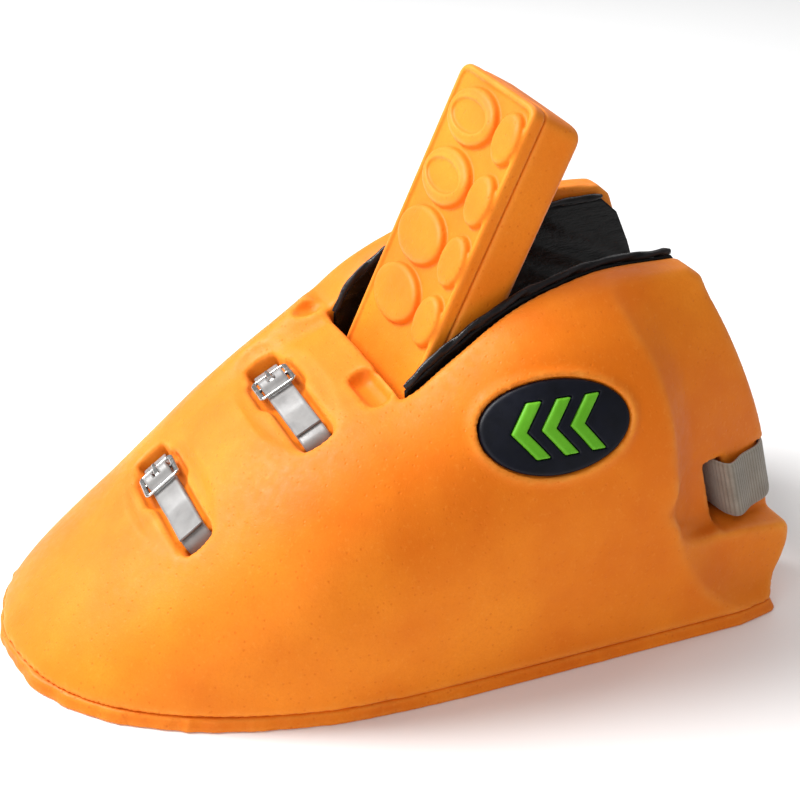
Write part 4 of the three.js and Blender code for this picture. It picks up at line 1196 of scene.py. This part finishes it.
def build_binding(name, side):
    """Folded black edging along the top of the lining, slightly crumpled."""
    x = side * (OPENING_HALF_WIDTH - LINING["gap"] - LINING["thickness"] / 2 - 0.5)
    lift = BINDING_RADIUS + 1.9
    line = curve_through([(x, y, z + lift) for y, z in [(LINING["front_y"], 123)] + lining_top(name)], 12)
    line = even_steps(line, 1.2)
    tangent = directions(line)
    sideways = np.array([1.0, 0, 0])
    angle = np.linspace(0, 2 * math.pi, 16, endpoint=False)
    rings = []
    for i, point in enumerate(line):
        up = np.cross(tangent[i], sideways)
        along = i * 1.2
        crumple = 1 + 0.14 * np.sin(along / 4.1 + 3 * np.sin(angle)) + 0.1 * np.sin(along / 2.3 + 2 * angle)
        radius = BINDING_RADIUS * np.minimum(crumple * 0.88, 1.0)
        taper = min(1.0, 0.6 + min(i, len(line) - 1 - i) * 0.15)
        ring = point + taper * radius[:, None] * (np.cos(angle)[:, None] * sideways
                                                  + 1.15 * np.sin(angle)[:, None] * up)
        rings.append(ring)
    points, faces = swept(rings)
    piece = new_object(f"rim_binding_{name}_folded", points, faces)
    mark_edges(piece, 3.0)
    return piece


for name, side in (("lateral", 1), ("medial", -1)):
    lining, flat, area = build_lining(name, side)
    place_piece(lining, "kicker", [f"lining_{name}"], LINING_CLOTH)
    binding = build_binding(name, side)
    place_piece(binding, "kicker", [f"rim_binding_{name}"], LINING_CLOTH)


def build_hinge_strip():
    """The flexible strip under the cavity's roof that carries the tongue's lower end."""
    low, high = (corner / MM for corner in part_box("tongue_hinge_strip"))
    steps = np.linspace(low.y, high.y, 40)
    line = [(0, y, smooth_through(CAVITY_ROOF, y) - 0.3 - 1.1) for y in steps]
    return ribbon("tongue_hinge_strip_cloth", line, (1, 0, 0), high.x - low.x - 6, 1.4, selvedge=0.1)


hinge = build_hinge_strip()
place_piece(hinge, "kicker", ["tongue_hinge_strip"], LINING_CLOTH)


# ---- Badge --------------------------------------------------------------------------------------
def chevron_distance(along, up, index, grow=0.0):
    count, reach, half = CHEVRON["count"], CHEVRON["reach"], CHEVRON["half_height"] + grow
    row = (count - 1) * CHEVRON["spacing"] + reach + CHEVRON["width"]
    tip = -row / 2 + index * CHEVRON["spacing"] - grow
    arm, thick = reach + grow, CHEVRON["width"] + 2 * grow
    outline = [(tip, 0), (tip + arm, -half), (tip + arm + thick, -half), (tip + thick, 0),
               (tip + arm + thick, half), (tip + arm, half)]
    return outline_distance(outline, along, up)


def build_badge():
    half_length, half_height = BADGE["length"] / 2, BADGE["height"] / 2
    place = badge_frame()
    grid = Grid((-half_length - 2, -half_height - 2, 22), (half_length + 2, half_height + 2, 58),
                0.6)
    spots = np.stack(np.broadcast_arrays(grid.x, grid.y, grid.z), axis=-1).reshape(-1, 3)
    world = spots @ np.array(place.to_3x3()).T + np.array(place.translation)
    skin = body_grid.sample(full_field, *world.T).reshape(grid.shape)
    plan = badge_plan(grid.x, grid.y)
    plate = common(common(plan, skin - BADGE["proud"], 1.6), -(skin + BADGE["recess"]), 0.4)
    for i in range(CHEVRON["count"]):
        shape = chevron_distance(grid.x, grid.y, i)
        groove = common(shape - 0.35, -(skin + CHEVRON["sunk"]))
        plate = cut(plate, groove, 0.5)
        mark = common(common(shape, skin - BADGE["proud"] - CHEVRON["proud"], 1.3),
                      -(skin + CHEVRON["sunk"] - 0.3), 0.2)
        chevron = piece_from_field(f"badge_chevron_{i + 1}_raised", grid, mark, place, wear=3.0)
        place_piece(chevron, "kicker", [f"badge_chevron_{i + 1}"], GREEN)
    oval = piece_from_field("badge_plate_domed", grid, plate, place, wear=3.0)
    place_piece(oval, "kicker", ["badge_plate"], NAVY)


build_badge()


# ---- Stage, lights and camera -------------------------------------------------------------------
def plain_surface(name, tint, roughness):
    material = bpy.data.materials.new(name)
    material.use_nodes = True
    shader = material.node_tree.nodes["Principled BSDF"]
    shader.inputs["Base Color"].default_value = tint
    shader.inputs["Roughness"].default_value = roughness
    return material


def add_floor():
    size = 6.0
    mesh = bpy.data.meshes.new("floor")
    corners = [(-size, -size, 0), (size, -size, 0), (size, size, 0), (-size, size, 0)]
    mesh.from_pydata(corners, [], [(0, 1, 2, 3)])
    floor = add_to_scene("floor", mesh)
    floor.data.materials.append(plain_surface("pale_floor", (0.92, 0.92, 0.92, 1), 0.7))


def add_light(name, azimuth, elevation, distance, size, power):
    light = bpy.data.lights.new(name, "AREA")
    light.size = size
    light.energy = power
    lamp = add_to_scene(name, light)
    away = view_direction(azimuth, elevation)
    lamp.location = Vector(LIT_POINT) + away * distance
    lamp.rotation_euler = away.to_track_quat("Z", "Y").to_euler()


def view_direction(azimuth, elevation):
    """From the object towards a viewer; azimuth 0 looks along +Y, 90 along -X."""
    a, e = math.radians(azimuth), math.radians(elevation)
    return Vector((math.sin(a) * math.cos(e), -math.cos(a) * math.cos(e), math.sin(e)))


def add_camera():
    camera = bpy.data.cameras.new("camera")
    camera.lens = CAMERA["lens"]
    camera.sensor_width = CAMERA["sensor"]
    holder = add_to_scene("camera", camera)
    away = view_direction(CAMERA["azimuth"], CAMERA["elevation"])
    holder.location = Vector(CAMERA["target"]) + away * CAMERA["distance"]
    turn = math.radians(CAMERA["azimuth"])
    right = Vector((math.cos(turn), math.sin(turn), 0))
    up = away.cross(right)
    holder.rotation_euler = Matrix((right, up, away)).transposed().to_euler()
    bpy.context.scene.camera = holder


def add_world():
    world = bpy.data.worlds.new("studio")
    world.use_nodes = True
    background = world.node_tree.nodes["Background"]
    background.inputs["Color"].default_value = (1, 1, 1, 1)
    background.inputs["Strength"].default_value = WORLD_STRENGTH
    bpy.context.scene.world = world
    bpy.context.scene.view_settings.view_transform = "Standard"


add_floor()
for light_name, settings in LIGHTS.items():
    add_light(light_name, **settings)
add_world()
add_camera()
